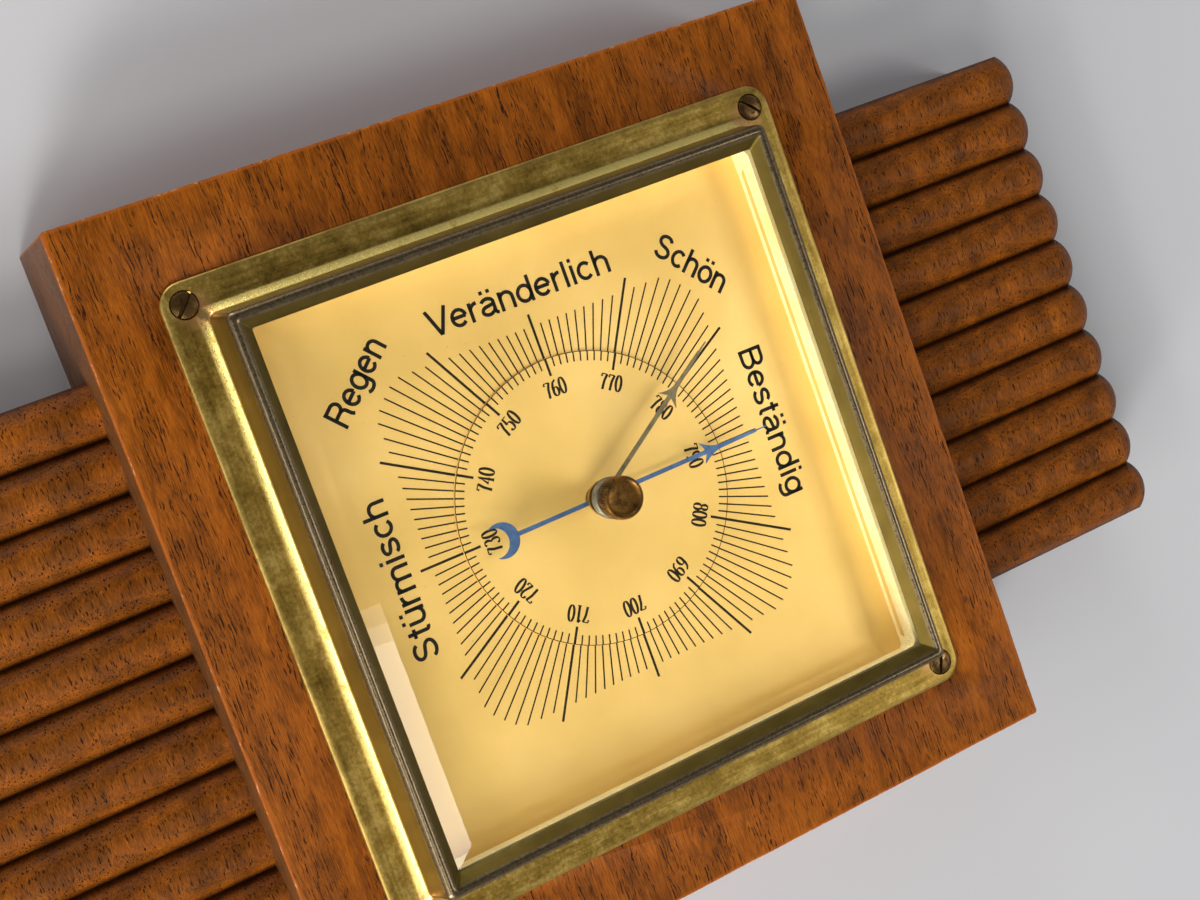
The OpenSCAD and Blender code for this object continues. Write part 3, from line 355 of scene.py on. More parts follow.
def case_wear(s, colour):
    """Greyer sides, edges rubbed pale, and small chips of bare wood."""
    # The sides are painted darker and greyer.
    side = s.step(s.absolute(s.x), case_half_w - 0.7, case_half_w - 0.1, 0.0, 0.7)
    colour = s.mix(side, colour, SIDE_GREY)
    rub = edge_nearness(s)
    chips = s.noise((1.2, 1.2, 3.0), 4, 0.7)
    colour = s.mix(s.times(s.step(rub, 0.35, 0.9, 0.8, 0.0), 0.9), colour, RUBBED_OAK)
    bare = s.times(s.fall(rub, 0.2, 0.42), s.step(chips, 0.55, 0.64))
    return s.mix(s.times(bare, 0.7), colour, BARE_OAK)


def wing_wear(s, colour):
    """Painted shade: the grooves between the reeds darken with depth."""
    groove_shade = s.step(s.y, -reed_top + 1.5, -reed_top + 3.1, 0.0, 0.78)
    return s.mix(groove_shade, colour, GROOVE_SHADE)


# The growth rings as direction across, width, size and depth of their drift, and depth of their waves.
# The band is where a ring's open spring wood starts, where it thins out, and where it ends.
CASE_CUT = {
    "tones": OAK_FRONT, "rings": ((1.0, 0.3, 0.03), 10.5, 26, 2.2, 0.7), "band": (0.06, 0.35, 0.80),
    "band_tone": -0.04, "line": OAK_FRONT[2], "line_share": 0.45, "sway": 1.7, "gloss": 0.24,
    "pores": case_pores, "wear_and_shade": case_wear,
}
# The wings are cut so that their rings lie nearly along the face
WING_CUT = {
    "tones": OAK_WING, "rings": ((-0.075, 1.0, 0.02), 1.9, 22, 1.6, 0.12), "band": (0.05, 0.50, 0.62),
    "band_tone": -0.035, "line": WING_RING_LINE, "line_share": 0.36, "sway": 0.8, "gloss": 0.30,
    "pores": wing_pores, "wear_and_shade": wing_wear,
}


def along_grain(s, sway_size):
    """Position that wanders a little sideways, as the vessels do."""
    wander = s.noise((0.9, 0.9, 1.9), 1)
    sway = s.noise((3.0, 3.0, 6.0), 2)
    side = s.times_add(wander, 0.35, s.times(sway, sway_size))
    return s.vector("ADD", s.position, s.node("CombineXYZ", X=side).outputs[0])


def oak(name, cut):
    """Waxed oak with its grain along Z: clouds, straight fibre, dark streaks, ring lines and vessels."""
    s = Surface(name)
    phase = rings_of(s, *cut["rings"])
    start, thin, end = cut["band"]
    band = s.times(s.step(phase, 0.0, start), s.fall(phase, thin, end))
    line = s.times(s.step(phase, 0.90, 0.95), s.fall(phase, 0.97, 1.0))
    fibre = s.noise((0.18, 0.18, 4.5), 3, 0.7)
    cloud = s.noise((4.5, 4.5, 9), 4, 0.62)
    streak = s.noise((0.30, 0.30, 1.8), 2, 0.6)
    tone = s.times_add(fibre, 0.60, s.times(cloud, 0.46))
    tone = s.times_add(band, cut["band_tone"], tone)
    colour = s.ramp(tone, sorted(zip(OAK_STOPS, cut["tones"])))
    colour = s.mix(s.step(streak, 0.36, 0.46, 0.42, 0.0), colour, cut["tones"][2])
    colour = s.mix(s.times(line, cut["line_share"]), colour, cut["line"])
    pores = cut["pores"](s, along_grain(s, cut["sway"]), band)
    colour = s.mix(s.times(pores, 0.93), colour, PORE_DARK)
    # Wear on the case, and painted shade in the grooves of the wings
    colour = cut["wear_and_shade"](s, colour)
    height = s.times_add(pores, -1.0, s.times(fibre, 0.24))
    gloss = s.times_add(pores, 0.3, s.times_add(cloud, 0.34, cut["gloss"]))
    return s.finish(colour, gloss, s.bump(height, PORE_DEPTH), Specular_IOR_Level=0.14)


def plain_wood(name):
    s = Surface(name)
    fibre = s.noise((0.5, 0.5, 12), 4, 0.65)
    bands = s.noise((6, 6, 60), 2)
    tone = s.times_add(fibre, 0.5, s.times(bands, 0.6))
    colour = s.ramp(tone, ((0.35, rgb(62, 40, 24)), (0.55, rgb(98, 66, 40)), (0.8, rgb(128, 92, 60))))
    return s.finish(colour, s.times_add(fibre, 0.2, 0.55), s.bump(fibre, 0.08))


# Bezel brass

PATINA = ((0.40, rgb(120, 96, 38)), (0.53, rgb(174, 142, 64)), (0.66, rgb(226, 194, 106)))
# Painted highlight for the flange's outer edge
EDGE_HIGHLIGHT_BRASS = rgb(216, 184, 104)
# Painted shade and dark reflection for the wall and the bead
WALL_SHADE_BRASS = rgb(122, 94, 26)
BEAD_SHADE_DARK = rgb(70, 58, 42)
BEAD_SHADE_LIGHT = rgb(150, 134, 108)
SLOPE_DARK = rgb(52, 44, 18)
SLOPE_PALE = rgb(120, 102, 46)
# Painted highlight on the fold
FOLD_HIGHLIGHT = rgb(248, 222, 130)
CORNER_COPPER = rgb(206, 150, 96)
PIT_DARK = rgb(60, 48, 22)
HANDLED_OUT = 5.6


def patina(s, mottle, grime):
    """Brass gone olive brown, clouded and faintly streaked along each side."""
    upright = s.step(s.minus(s.absolute(s.x), s.absolute(s.z)), -0.2, 0.2)
    level_streaks = s.noise((16, 2, 0.9), 4, 0.6)
    upright_streaks = s.noise((0.9, 2, 16), 4, 0.6)
    streaks = s.times_add(s.minus(upright_streaks, level_streaks), upright, level_streaks)
    tone = s.times_add(grime, 0.30, s.times(mottle, 0.46))
    return s.ramp(s.times_add(streaks, 0.30, tone), PATINA)


def corner_rub(s, out, grime):
    """Where the corners were handled, with a ragged border."""
    far_x = s.minus(s.absolute(s.x), WINDOW + HANDLED_OUT)
    far_z = s.minus(s.absolute(s.z), WINDOW + HANDLED_OUT)
    away = s.math("SQRT", s.math("ADD", s.times(far_x, far_x), s.times(far_z, far_z)))
    away = s.times_add(grime, 3.0, away)
    return s.times(s.fall(away, 3.2, 6.0), s.step(out, 3.2, 4.6))


def fold_rub(s, out, depth):
    """Fold between flange and wall, rubbed unevenly, and painted bright as a highlight."""
    fold = s.times(s.step(out, 4.1, 4.5), s.fall(out, 5.6, 6.2))
    low = s.fall(depth, case_front + 1.7, case_front + 2.3)
    scuff = s.step(s.noise(2.2, 3, 0.6), 0.20, 0.48)
    return s.times(s.times(fold, low), scuff)


def bezel_brass(name):
    """Olive flange, dark slope and coppery corners, with painted shade making the wall browner and the bead
    grey, and painted highlights on the rubbed fold and the flange's edge.
    """
    s = Surface(name)
    out = s.minus(s.math("MAXIMUM", s.absolute(s.x), s.absolute(s.z)), WINDOW)
    depth = s.times(s.y, -1.0)
    mottle = s.noise(7, 6, 0.6)
    grime = s.noise(0.7, 4, 0.7)
    colour = patina(s, mottle, grime)
    # Painted highlight along the flange's rounded outer edge
    colour = s.mix(s.step(out, FLANGE_OUT - 1.4, FLANGE_OUT - 0.3, 0.0, 0.4), colour, EDGE_HIGHLIGHT_BRASS)
    # Painted shade and dark reflection: the wall darkened browner, the bead painted grey.
    wall = s.step(depth, case_front + 1.3, case_front + 2.4)
    colour = s.mix(s.times(wall, 0.85), colour, WALL_SHADE_BRASS)
    bead = s.times(s.step(depth, bezel_crest - 2.2, bezel_crest - 1.6), s.step(out, 1.1, 1.5))
    colour = s.mix(s.times(bead, 0.85), colour, s.mix(grime, BEAD_SHADE_DARK, BEAD_SHADE_LIGHT))
    slope = s.times(s.step(depth, bezel_crest - 2.4, bezel_crest - 2.0), s.fall(out, 1.1, 1.5))
    colour = s.mix(s.times(slope, 0.8), colour, s.mix(mottle, SLOPE_DARK, SLOPE_PALE))
    rubbed_and_highlit = fold_rub(s, out, depth)
    # Painted highlight, over the real rubbing of the fold
    colour = s.mix(s.times(rubbed_and_highlit, 0.9), colour, FOLD_HIGHLIGHT)
    colour = s.mix(s.times(corner_rub(s, out, grime), 0.7), colour, CORNER_COPPER)
    pit_distance, _ = s.cells(1.1)
    colour = s.mix(s.times(s.fall(pit_distance, 0.05, 0.16), 0.30), colour, PIT_DARK)
    polished = s.math("MAXIMUM", rubbed_and_highlit, s.times(bead, 0.8))
    rough = s.times_add(polished, -0.16, s.times_add(grime, 0.24, 0.30))
    height = s.times_add(grime, 0.35, s.times(mottle, 0.3))
    return s.finish(colour, rough, s.bump(height, 0.04), Metallic=0.9)


# Other metals, dial, ink and glass

# Light and dark colour, cloud size, least and most roughness, strength of the specks, metallic share
METALS = {
    "screw_brass": (rgb(150, 116, 70), rgb(40, 26, 14), 1.3, 0.22, 0.5, 0.6, 1.0),
    "plain_brass": (rgb(214, 178, 104), rgb(150, 116, 58), 9, 0.22, 0.42, 0.3, 1.0),
    "gilt": (rgb(255, 246, 200), rgb(250, 226, 160), 12, 0.25, 0.4, 0.1, 0.1),
    "knob_brass": (rgb(134, 94, 36), rgb(44, 27, 12), 2.2, 0.30, 0.55, 0.4, 0.85),
    "hand_brass": (rgb(132, 118, 88), rgb(88, 76, 52), 3.0, 0.3, 0.5, 0.3, 0.5),
    "collar_metal": (rgb(150, 146, 124), rgb(92, 86, 66), 1.6, 0.42, 0.6, 0.4, 0.8),
    "blued_steel": (rgb(84, 118, 162), rgb(54, 80, 122), 4.0, 0.25, 0.4, 0.15, 0.45),
    "movement_brass": (rgb(216, 182, 108), rgb(166, 130, 66), 7, 0.2, 0.4, 0.3, 1.0),
    "plain_steel": (rgb(188, 188, 188), rgb(120, 120, 120), 3, 0.22, 0.42, 0.3, 1.0),
}
LACQUER = ((0.36, rgb(222, 182, 98)), (0.56, rgb(237, 196, 112)), (0.7, rgb(245, 206, 126)))
LACQUER_SPECK = rgb(120, 88, 34)
# Painted shade for the dial's edges, under the frame
LACQUER_RIM_SHADE = rgb(206, 168, 84)
TICK_INK = rgb(34, 24, 8)
WORD_INK = rgb(22, 16, 10)


def metal(name):
    """Metal with clouded tarnish, fine scratches and specks."""
    light, dark, grain, rough_low, rough_high, speck, metallic = METALS[name]
    s = Surface(name)
    cloud = s.noise(grain, 5, 0.62)
    fine = s.noise((grain * 0.08, grain * 0.9, grain * 0.08), 3, 0.7)
    tone = s.times_add(fine, 0.35, s.times(cloud, 0.7))
    colour = s.ramp(tone, ((0.38, dark), (0.62, light)))
    spot_distance, _ = s.cells(grain * 0.22)
    colour = s.mix(s.times(s.fall(spot_distance, 0.08, 0.22), speck), colour, dark)
    rough = s.step(tone, 0.3, 0.75, rough_high, rough_low)
    return s.finish(colour, rough, s.bump(fine, 0.012), Metallic=metallic)


def dial_gold(name):
    """Satin gold lacquer, slightly clouded, with a fine grain, tiny dark specks and painted shade towards
    its edges.
    """
    s = Surface(name)
    cloud = s.noise(30, 3, 0.5)
    grain = s.noise(0.35, 2)
    tone = s.times_add(grain, 0.16, s.times(cloud, 0.84))
    distance, chance = s.cells(1.7)
    dot = s.times(s.fall(distance, 0.04, 0.10), s.step(chance, 0.8, 0.85))
    colour = s.mix(s.times(dot, 0.45), s.ramp(tone, LACQUER), LACQUER_SPECK)
    # Painted shade: the lacquer darkens towards the dial's edges
    rim = s.math("MAXIMUM", s.absolute(s.x), s.absolute(s.z))
    colour = s.mix(s.step(rim, 46, 55, 0.0, 0.25), colour, LACQUER_RIM_SHADE)
    rough = s.times_add(grain, 0.14, 0.36)
    return s.finish(colour, rough, s.bump(grain, 0.012), Metallic=0.38, Specular_IOR_Level=0.4)


def ink(name, colour):
    """Matt print, paler where it is worn."""
    s = Surface(name)
    worn = s.noise(0.5, 3, 0.7)
    paler = tuple(min(1.0, c * 1.7 + 0.01) for c in colour[:3]) + (1.0,)
    shade = s.mix(s.step(worn, 0.45, 0.75), colour, paler)
    return s.finish(shade, s.step(worn, 0.3, 0.7, 0.6, 0.8), Specular_IOR_Level=0.1)


def clear_glass(name):
    """Clear glass that lets the lamps' light through to the dial."""
    s = Surface(name)
    smear = s.noise(16, 4, 0.6)
    s.finish((0.97, 0.985, 0.975, 1.0), s.step(smear, 0.4, 0.8, 0.0, 0.03), Transmission_Weight=1.0, IOR=1.5)
    path = s.node("LightPath")
    clear = s.node("BsdfTransparent", Color=(0.96, 0.97, 0.96, 1.0))
    return s.see_through(path.outputs["Is Shadow Ray"], clear)


# Meshes

def at(x, z, depth):
    return Vector((x, -depth, z)) * MM


def closed_mesh(name, points, faces):
    """A mesh from points in metres, with its normals outward."""
    mesh = bpy.data.meshes.new(name)
    mesh.from_pydata([tuple(p) for p in points], [], faces)
    work = bmesh.new()
    work.from_mesh(mesh)
    bmesh.ops.recalc_face_normals(work, faces=work.faces)
    work.to_mesh(mesh)
    work.free()
    return mesh


def place(name, data):
    """A new object in the scene."""
    made = bpy.data.objects.new(name, data)
    bpy.context.scene.collection.objects.link(made)
    return made


def cover(mesh, material):
    """One smooth material all over a mesh."""
    mesh.materials.clear()
    mesh.materials.append(material)
    for face in mesh.polygons:
        face.material_index = 0
        face.use_smooth = True


def dress(name, mesh, material, body, smooth_angle=SMOOTH_ANGLE):
    """An object of one material, smooth but for its sharp edges, riding on a body."""
    cover(mesh, material)
    mesh.set_sharp_from_angle(angle=math.radians(smooth_angle))
    made = place(name, mesh)
    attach(made, body)
    return made


def piece(name, points, faces, material, body, smooth_angle=SMOOTH_ANGLE):
    return dress(name, closed_mesh(name, points, faces), material, body, smooth_angle)


def ring_faces(loops, count, closed):
    """Quads between loops of count points, and from the last to the first if closed."""
    faces = []
    for a in range(loops if closed else loops - 1):
        b = (a + 1) % loops
        for i in range(count):
            j = (i + 1) % count
            faces.append((a * count + i, a * count + j, b * count + j, b * count + i))
    return faces


def capped_faces(loops, count):
    """Quads between loops of count points, and a face over either end."""
    last = (loops - 1) * count
    return ring_faces(loops, count, False) + [tuple(range(count)), tuple(range(last, last + count))]


def circle(radius, depth, steps, teeth=0, tooth_depth=0.0):
    """Points round the hands' axis, with teeth as waves cut into the radius."""
    points = []
    for i in range(steps):
        a = 2 * math.pi * i / steps
        r = radius - tooth_depth * (0.5 - 0.5 * math.cos(teeth * a))
        points.append(at(r * math.cos(a), r * math.sin(a), depth))
    return points


def lathe(profile, steps=96, teeth=0, tooth_depth=0.0):
    """A turned form from rows of (radius, depth), or (radius, depth, share of the teeth)."""
    points = [at(0, 0, profile[0][1])]
    for radius, depth, *toothed in profile[1:-1]:
        points += circle(radius, depth, steps, teeth, tooth_depth * sum(toothed))
    points.append(at(0, 0, profile[-1][1]))
    faces = [tuple(v + 1 for v in face) for face in ring_faces(len(profile) - 2, steps, False)]
    last = len(points) - 1
    for i in range(steps):
        j = (i + 1) % steps
        faces.append((0, 1 + j, 1 + i))
        faces.append((last, last - steps + i, last - steps + j))
    return points, faces


def square_loop(half, r, corner_steps=8, side_steps=24, half_h=None):
    """Points round a rectangle with rounded corners."""
    points = []
    for quarter in range(4):
        a, b = (half, half_h or half) if quarter % 2 == 0 else (half_h or half, half)
        turn = Matrix.Rotation(quarter * math.pi / 2, 2)
        for i in range(corner_steps + 1):
            angle = math.pi / 2 * i / corner_steps
            points.append(turn @ Vector((a - r + r * math.cos(angle), b - r + r * math.sin(angle))))
        for i in range(1, side_steps):
            along = a - r - 2 * (a - r) * i / side_steps
            points.append(turn @ Vector((along, b)))
    return points


def cut(target, form, operation="DIFFERENCE"):
    """Cuts a form out of the target, or keeps only what both share, and deletes the form."""
    step = target.modifiers.new("cut", "BOOLEAN")
    step.object = form
    step.operation = operation
    step.solver = "EXACT"
    bpy.context.view_layer.update()
    graph = bpy.context.evaluated_depsgraph_get()
    made = bpy.data.meshes.new_from_object(target.evaluated_get(graph))
    target.modifiers.clear()
    target.data = made
    bpy.data.objects.remove(form)
    made.set_sharp_from_angle(angle=math.radians(SMOOTH_ANGLE))


def cutter(name, points, faces):
    """A form used only to cut another."""
    return place(name, closed_mesh(name, points, faces))


def ripple(x, z, level, size, fine_level, fine_size):
    """A slow wave and a quicker one half as high, about -1.5 to 1.5."""
    slow = noise.noise(Vector((x, z, level)) * size)
    return slow + 0.5 * noise.noise(Vector((x, z, fine_level)) * fine_size)


# Case

BLOCK_INSIDE = 0.01
BLOCK_CORNER_R = 0.7
BLOCK_CORNER_STEPS = 6
BLOCK_SIDE_STEPS = 80
EDGE_SOFT = 0.42
EDGE_WEAR = 0.22


def softened_block():
    """A block just inside the case's outer faces, its edges rounded and unevenly worn."""
    half_w = case_half_w - BLOCK_INSIDE
    half_h = case_half_h - BLOCK_INSIDE
    front = case_front - BLOCK_INSIDE
    turns = [math.pi / 2 * i / 5 for i in range(6)]
    rows = [(1 - math.sin(a), 1 - math.cos(a), BLOCK_INSIDE) for a in turns]
    rows += [(0, t, None) for t in (0.25, 0.5, 0.75)]
    rows += [(1 - math.cos(a), 1 - math.sin(a), front) for a in turns]
    outline = square_loop(half_w, BLOCK_CORNER_R, BLOCK_CORNER_STEPS, BLOCK_SIDE_STEPS, half_h)
    points = []
    for inset, from_face, face in rows:
        for x, z in outline:
            soft = EDGE_SOFT + EDGE_WEAR * ripple(x, z, 1, 0.16, 5, 0.6)
            if face is None:
                depth = from_face * front
            else:
                depth = face + from_face * soft * (1 if face < 1 else -1)
            points.append(at(x - math.copysign(inset * soft, x), z - math.copysign(inset * soft, z), depth))
    return points, capped_faces(len(rows), len(outline))


def case_block(material):
    """The case of the model with its outer edges rounded and worn."""
    made = dress("case_block", nodes["case_body"].data.copy(), material, "case")
    cut(made, cutter("softened", *softened_block()), "INTERSECT")
    cover(made.data, material)
    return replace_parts(made, "case_body")


# Bezel

def flange_rows(front):
    """From the flange's edge in to the fold, as (out, depth)."""
    rows = [(FLANGE_OUT - inset, front + rise) for inset, rise in FLANGE_EDGE]
    edge_inset = FLANGE_EDGE[-1][0]
    step = (FLANGE_OUT - 1.0 - FOLD_OUT) / 6
    return rows + [(FLANGE_OUT - edge_inset - t * step, front + SHEET) for t in range(1, 6)]


def bezel_section():
    """Closed section (out from the window, depth, corner radius), from the flange's edge in and back."""
    front = case_front
    top = front + SHEET
    crest = bezel_crest
    centre = WALL_OUT - BEAD_R
    rows = flange_rows(front) + [(out, top + rise) for out, rise in FOLD]
    foot_out, foot = rows[-1]
    for share in (0.3, 0.6, 0.9):
        rows.append((foot_out + share * (WALL_OUT - foot_out), foot + share * (crest - BEAD_R - foot)))
    for i in range(15):
        a = math.radians(BEAD_TURN * i / 14)
        rows.append((centre + BEAD_R * math.cos(a), crest - BEAD_R + BEAD_R * math.sin(a)))
    rows += [(out, crest - drop) for out, drop in GLASS_SLOPE]

    # The sheet's back, up into the hollow bead and down to the case
    for i in range(7):
        a = math.pi * (6 - i) / 6
        rows.append((centre + BEAD_HOLLOW_R * math.cos(a), crest - BEAD_R + BEAD_HOLLOW_R * math.sin(a)))
    rows += [(FOLD_IN - 0.8, top + FOLD_H), (FOLD_IN - 0.4, front + FOLD_H - 0.1), (FOLD_OUT - 0.4, front)]
    return [(out, depth, corner_radius(out)) for out, depth in rows]


def corner_radius(out):
    """The folds turn the corner nearly sharp, and the flange ends in a wider curve."""
    if out <= FOLD_OUT:
        return INNER_CORNER_R + CORNER_GROWTH * out
    share = (out - FOLD_OUT) / (FLANGE_OUT - FOLD_OUT)
    return (INNER_CORNER_R + CORNER_GROWTH * FOLD_OUT) * (1 - share) + OUTER_CORNER_R * share


def bezel_frame(material):
    """The pressed frame, slightly wavy on its open faces, with sinks for its screws."""
    points = []
    section = bezel_section()
    for out, depth, radius in section:
        open_face = case_front + 0.7 < depth < bezel_crest - 0.3 and out < FLANGE_OUT - 0.3
        for x, z in square_loop(WINDOW + out, radius):
            wave = 0.05 * ripple(x, z, 3, 0.09, 9, 0.3) if open_face else 0.0
            points.append(at(x, z, depth + wave))
    faces = ring_faces(len(section), len(points) // len(section), True)
    made = piece("bezel_frame", points, faces, material, "case", 40)
    top = case_front + SHEET
    mouth = SCREW_HEAD_R + 0.26
    sink = [(0, top + 0.8), (mouth, top + 0.8), (mouth, top + 0.04), (mouth - 0.06, top - 0.30)]
    sink += [(1.6, top - 1.3), (0, top - 1.3)]
    for sx, sz, _ in SCREW_SLOTS:
        sunk, faces = lathe(sink, 48)
        shift = at(sx * SCREW_AT, sz * SCREW_AT, 0)
        cut(made, cutter("sink", [p + shift for p in sunk], faces))
    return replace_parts(made, "bezel")


def screw_profile(face):
    """Shank, countersunk cone and slightly domed face of a screw, outward along its axis."""
    r = SCREW_HEAD_R
    profile = [(0, face - SCREW_LENGTH), (SCREW_SHANK_R, face - SCREW_LENGTH), (SCREW_SHANK_R, face - 1.15)]
    profile += [(r - 0.12, face - 0.06), (r, face + 0.02), (r - 0.05, face + 0.10), (r - 0.25, face + 0.17)]
    profile += [(r * s, face + 0.20 + 0.2 * (1 - s * s)) for s in (0.8, 0.6, 0.4, 0.2)]
    return profile + [(0, face + 0.4)]


def slot_form(x, z, angle, face):
    """A bar across a screw's head, wider towards the front."""
    turn = Matrix.Rotation(math.radians(angle), 2)
    corners = []
    for rise, half in SLOT_ROWS:
        for u, v in ((-1, -half), (1, -half), (1, half), (-1, half)):
            spot = turn @ Vector((u * SLOT_HALF_LENGTH, v))
            corners.append(at(x + spot.x, z + spot.y, face + rise))
    return corners, capped_faces(len(SLOT_ROWS), 4)


def slotted_screw(name, x, z, angle, material):
    face = case_front + SHEET
    points, faces = lathe(screw_profile(face), 64)
    shift = at(x, z, 0)
    made = piece(name, [p + shift for p in points], faces, material, "case", 30)
    cut(made, cutter("slot", *slot_form(x, z, angle, face)))
    return made


# Dial print, as a thin film of ink on the dial

def film(name, outlines, depths, material):
    """Thin prisms from outlines of (x, z) points, each standing on its own depth."""
    points, faces = [], []
    for outline, depth in zip(outlines, depths):
        start = len(points)
        points += [at(x, z, depth + rise) for rise in (0, INK_T) for x, z in outline]
        faces += [tuple(start + v for v in face) for face in capped_faces(2, len(outline))]
    return piece(name, points, faces, material, "case")


def clockwise(x, z, angle):
    s, c = math.sin(angle), math.cos(angle)
    return (x * c + z * s, z * c - x * s)


def ray(angle, start, end, width):
    """Outline of a bar along a direction clockwise from the top."""
    half = width / 2
    corners = ((-half, start), (-half, end), (half, end), (half, start))
    return [clockwise(x, z, angle) for x, z in corners]


def scale_ticks(material):
    """A tick every 3 degrees, from the raised disc out to a square."""
    outlines, depths = [], []
    for i in range(TICKS):
        angle = 2 * math.pi * i / TICKS
        major = i % MAJOR_EVERY == 0
        start, side, width = MAJOR_TICK if major else MINOR_TICK
        end = side / max(abs(math.sin(angle)), abs(math.cos(angle)))
        if not major:
            end = min(end, MINOR_END)
        outlines.append(ray(angle, start, DISC_LINE[1], width))
        depths.append(disc_front)
        outlines.append(ray(angle, disc_r + DISC_GAP, end, width))
        depths.append(dial_front)
    return film("scale_ticks", outlines, depths, material)


def disc_edge(material):
    """The printed line round the raised disc."""
    steps = 240
    inner, outer = DISC_LINE
    points = []
    for r, rise in ((outer, 0), (outer, INK_T), (inner, INK_T), (inner, 0)):
        points += circle(r, disc_front + rise, steps)
    return piece("disc_edge", points, ring_faces(4, steps, True), material, "case")


def arc(cx, cy, rx, ry, start, end, steps=14):
    """Points along part of an ellipse, between two angles in degrees."""
    angles = [math.radians(start + (end - start) * i / steps) for i in range(steps + 1)]
    return [(cx + rx * math.cos(a), cy + ry * math.sin(a)) for a in angles]


# Centre lines of the numerals in a box 1 wide and 2.4 high, drawn with a pen thick in its upright strokes
NUMERALS = {
    "0": [arc(0.5, 1.2, 0.4, 1.13, 90, 450, 28)],
    "1": [[(0.5, 2.36), (0.5, 0.04)], [(0.2, 2), (0.5, 2.36)], [(0.2, 0.04), (0.8, 0.04)]],
    "2": [arc(0.48, 1.75, 0.36, 0.56, 165, -35) + [(0.16, 0.1)], [(0.12, 0.12), (0.86, 0.12), (0.88, 0.5)]],
    "3": [arc(0.45, 1.8, 0.34, 0.5, 150, -85), arc(0.45, 0.66, 0.4, 0.6, 85, -155)],
    "4": [[(0.66, 0.04), (0.66, 2.3), (0.08, 0.72), (0.95, 0.72)], [(0.42, 0.04), (0.9, 0.04)]],
    "5": [[(0.82, 2.26), (0.24, 2.26), (0.2, 1.28)], arc(0.46, 0.74, 0.4, 0.66, 130, -155)],
    "6": [arc(0.5, 0.7, 0.38, 0.62, 90, 450, 24), [(0.13, 0.8), (0.14, 1.4), (0.32, 1.98), (0.76, 2.32)]],
    "7": [[(0.1, 1.86), (0.12, 2.22), (0.9, 2.22)], [(0.88, 2.22), (0.56, 1.3), (0.42, 0.04)]],
    "8": [arc(0.5, 1.8, 0.33, 0.5, 90, 450, 20), arc(0.5, 0.68, 0.39, 0.62, 90, 450, 24)],
    "9": [arc(0.5, 1.68, 0.38, 0.62, 90, 450, 24), [(0.87, 1.6), (0.86, 1), (0.68, 0.42), (0.24, 0.08)]],
}
NUMERAL_UNIT = 3.3 / 2.4
NUMERAL_ADVANCE = 1.12 * NUMERAL_UNIT
NUMERAL_SIDE = 0.06 * NUMERAL_UNIT
THIN_PEN = 0.2
THICK_PEN = 0.52
PEN_TURN = 1.6

# Readings clockwise from the top of the scale
READINGS = (*range(760, 801, 10), *range(690, 751, 10))

# Weather words: text, centre of the capitals in x and z, turn and width
CAP_HEIGHT = 5.1
WORDS = (
    ("Veränderlich", -0.15, 41.85, 0, 38.9),
    ("Stürmisch", -41.55, -0.2, 90, 31),
    ("Beständig", 41.55, 0.25, -90, 30.5),
    ("Regen", -36.1, 37, 43, 17.2),
    ("Schön", 36, 35.3, -47, 16.4),
)

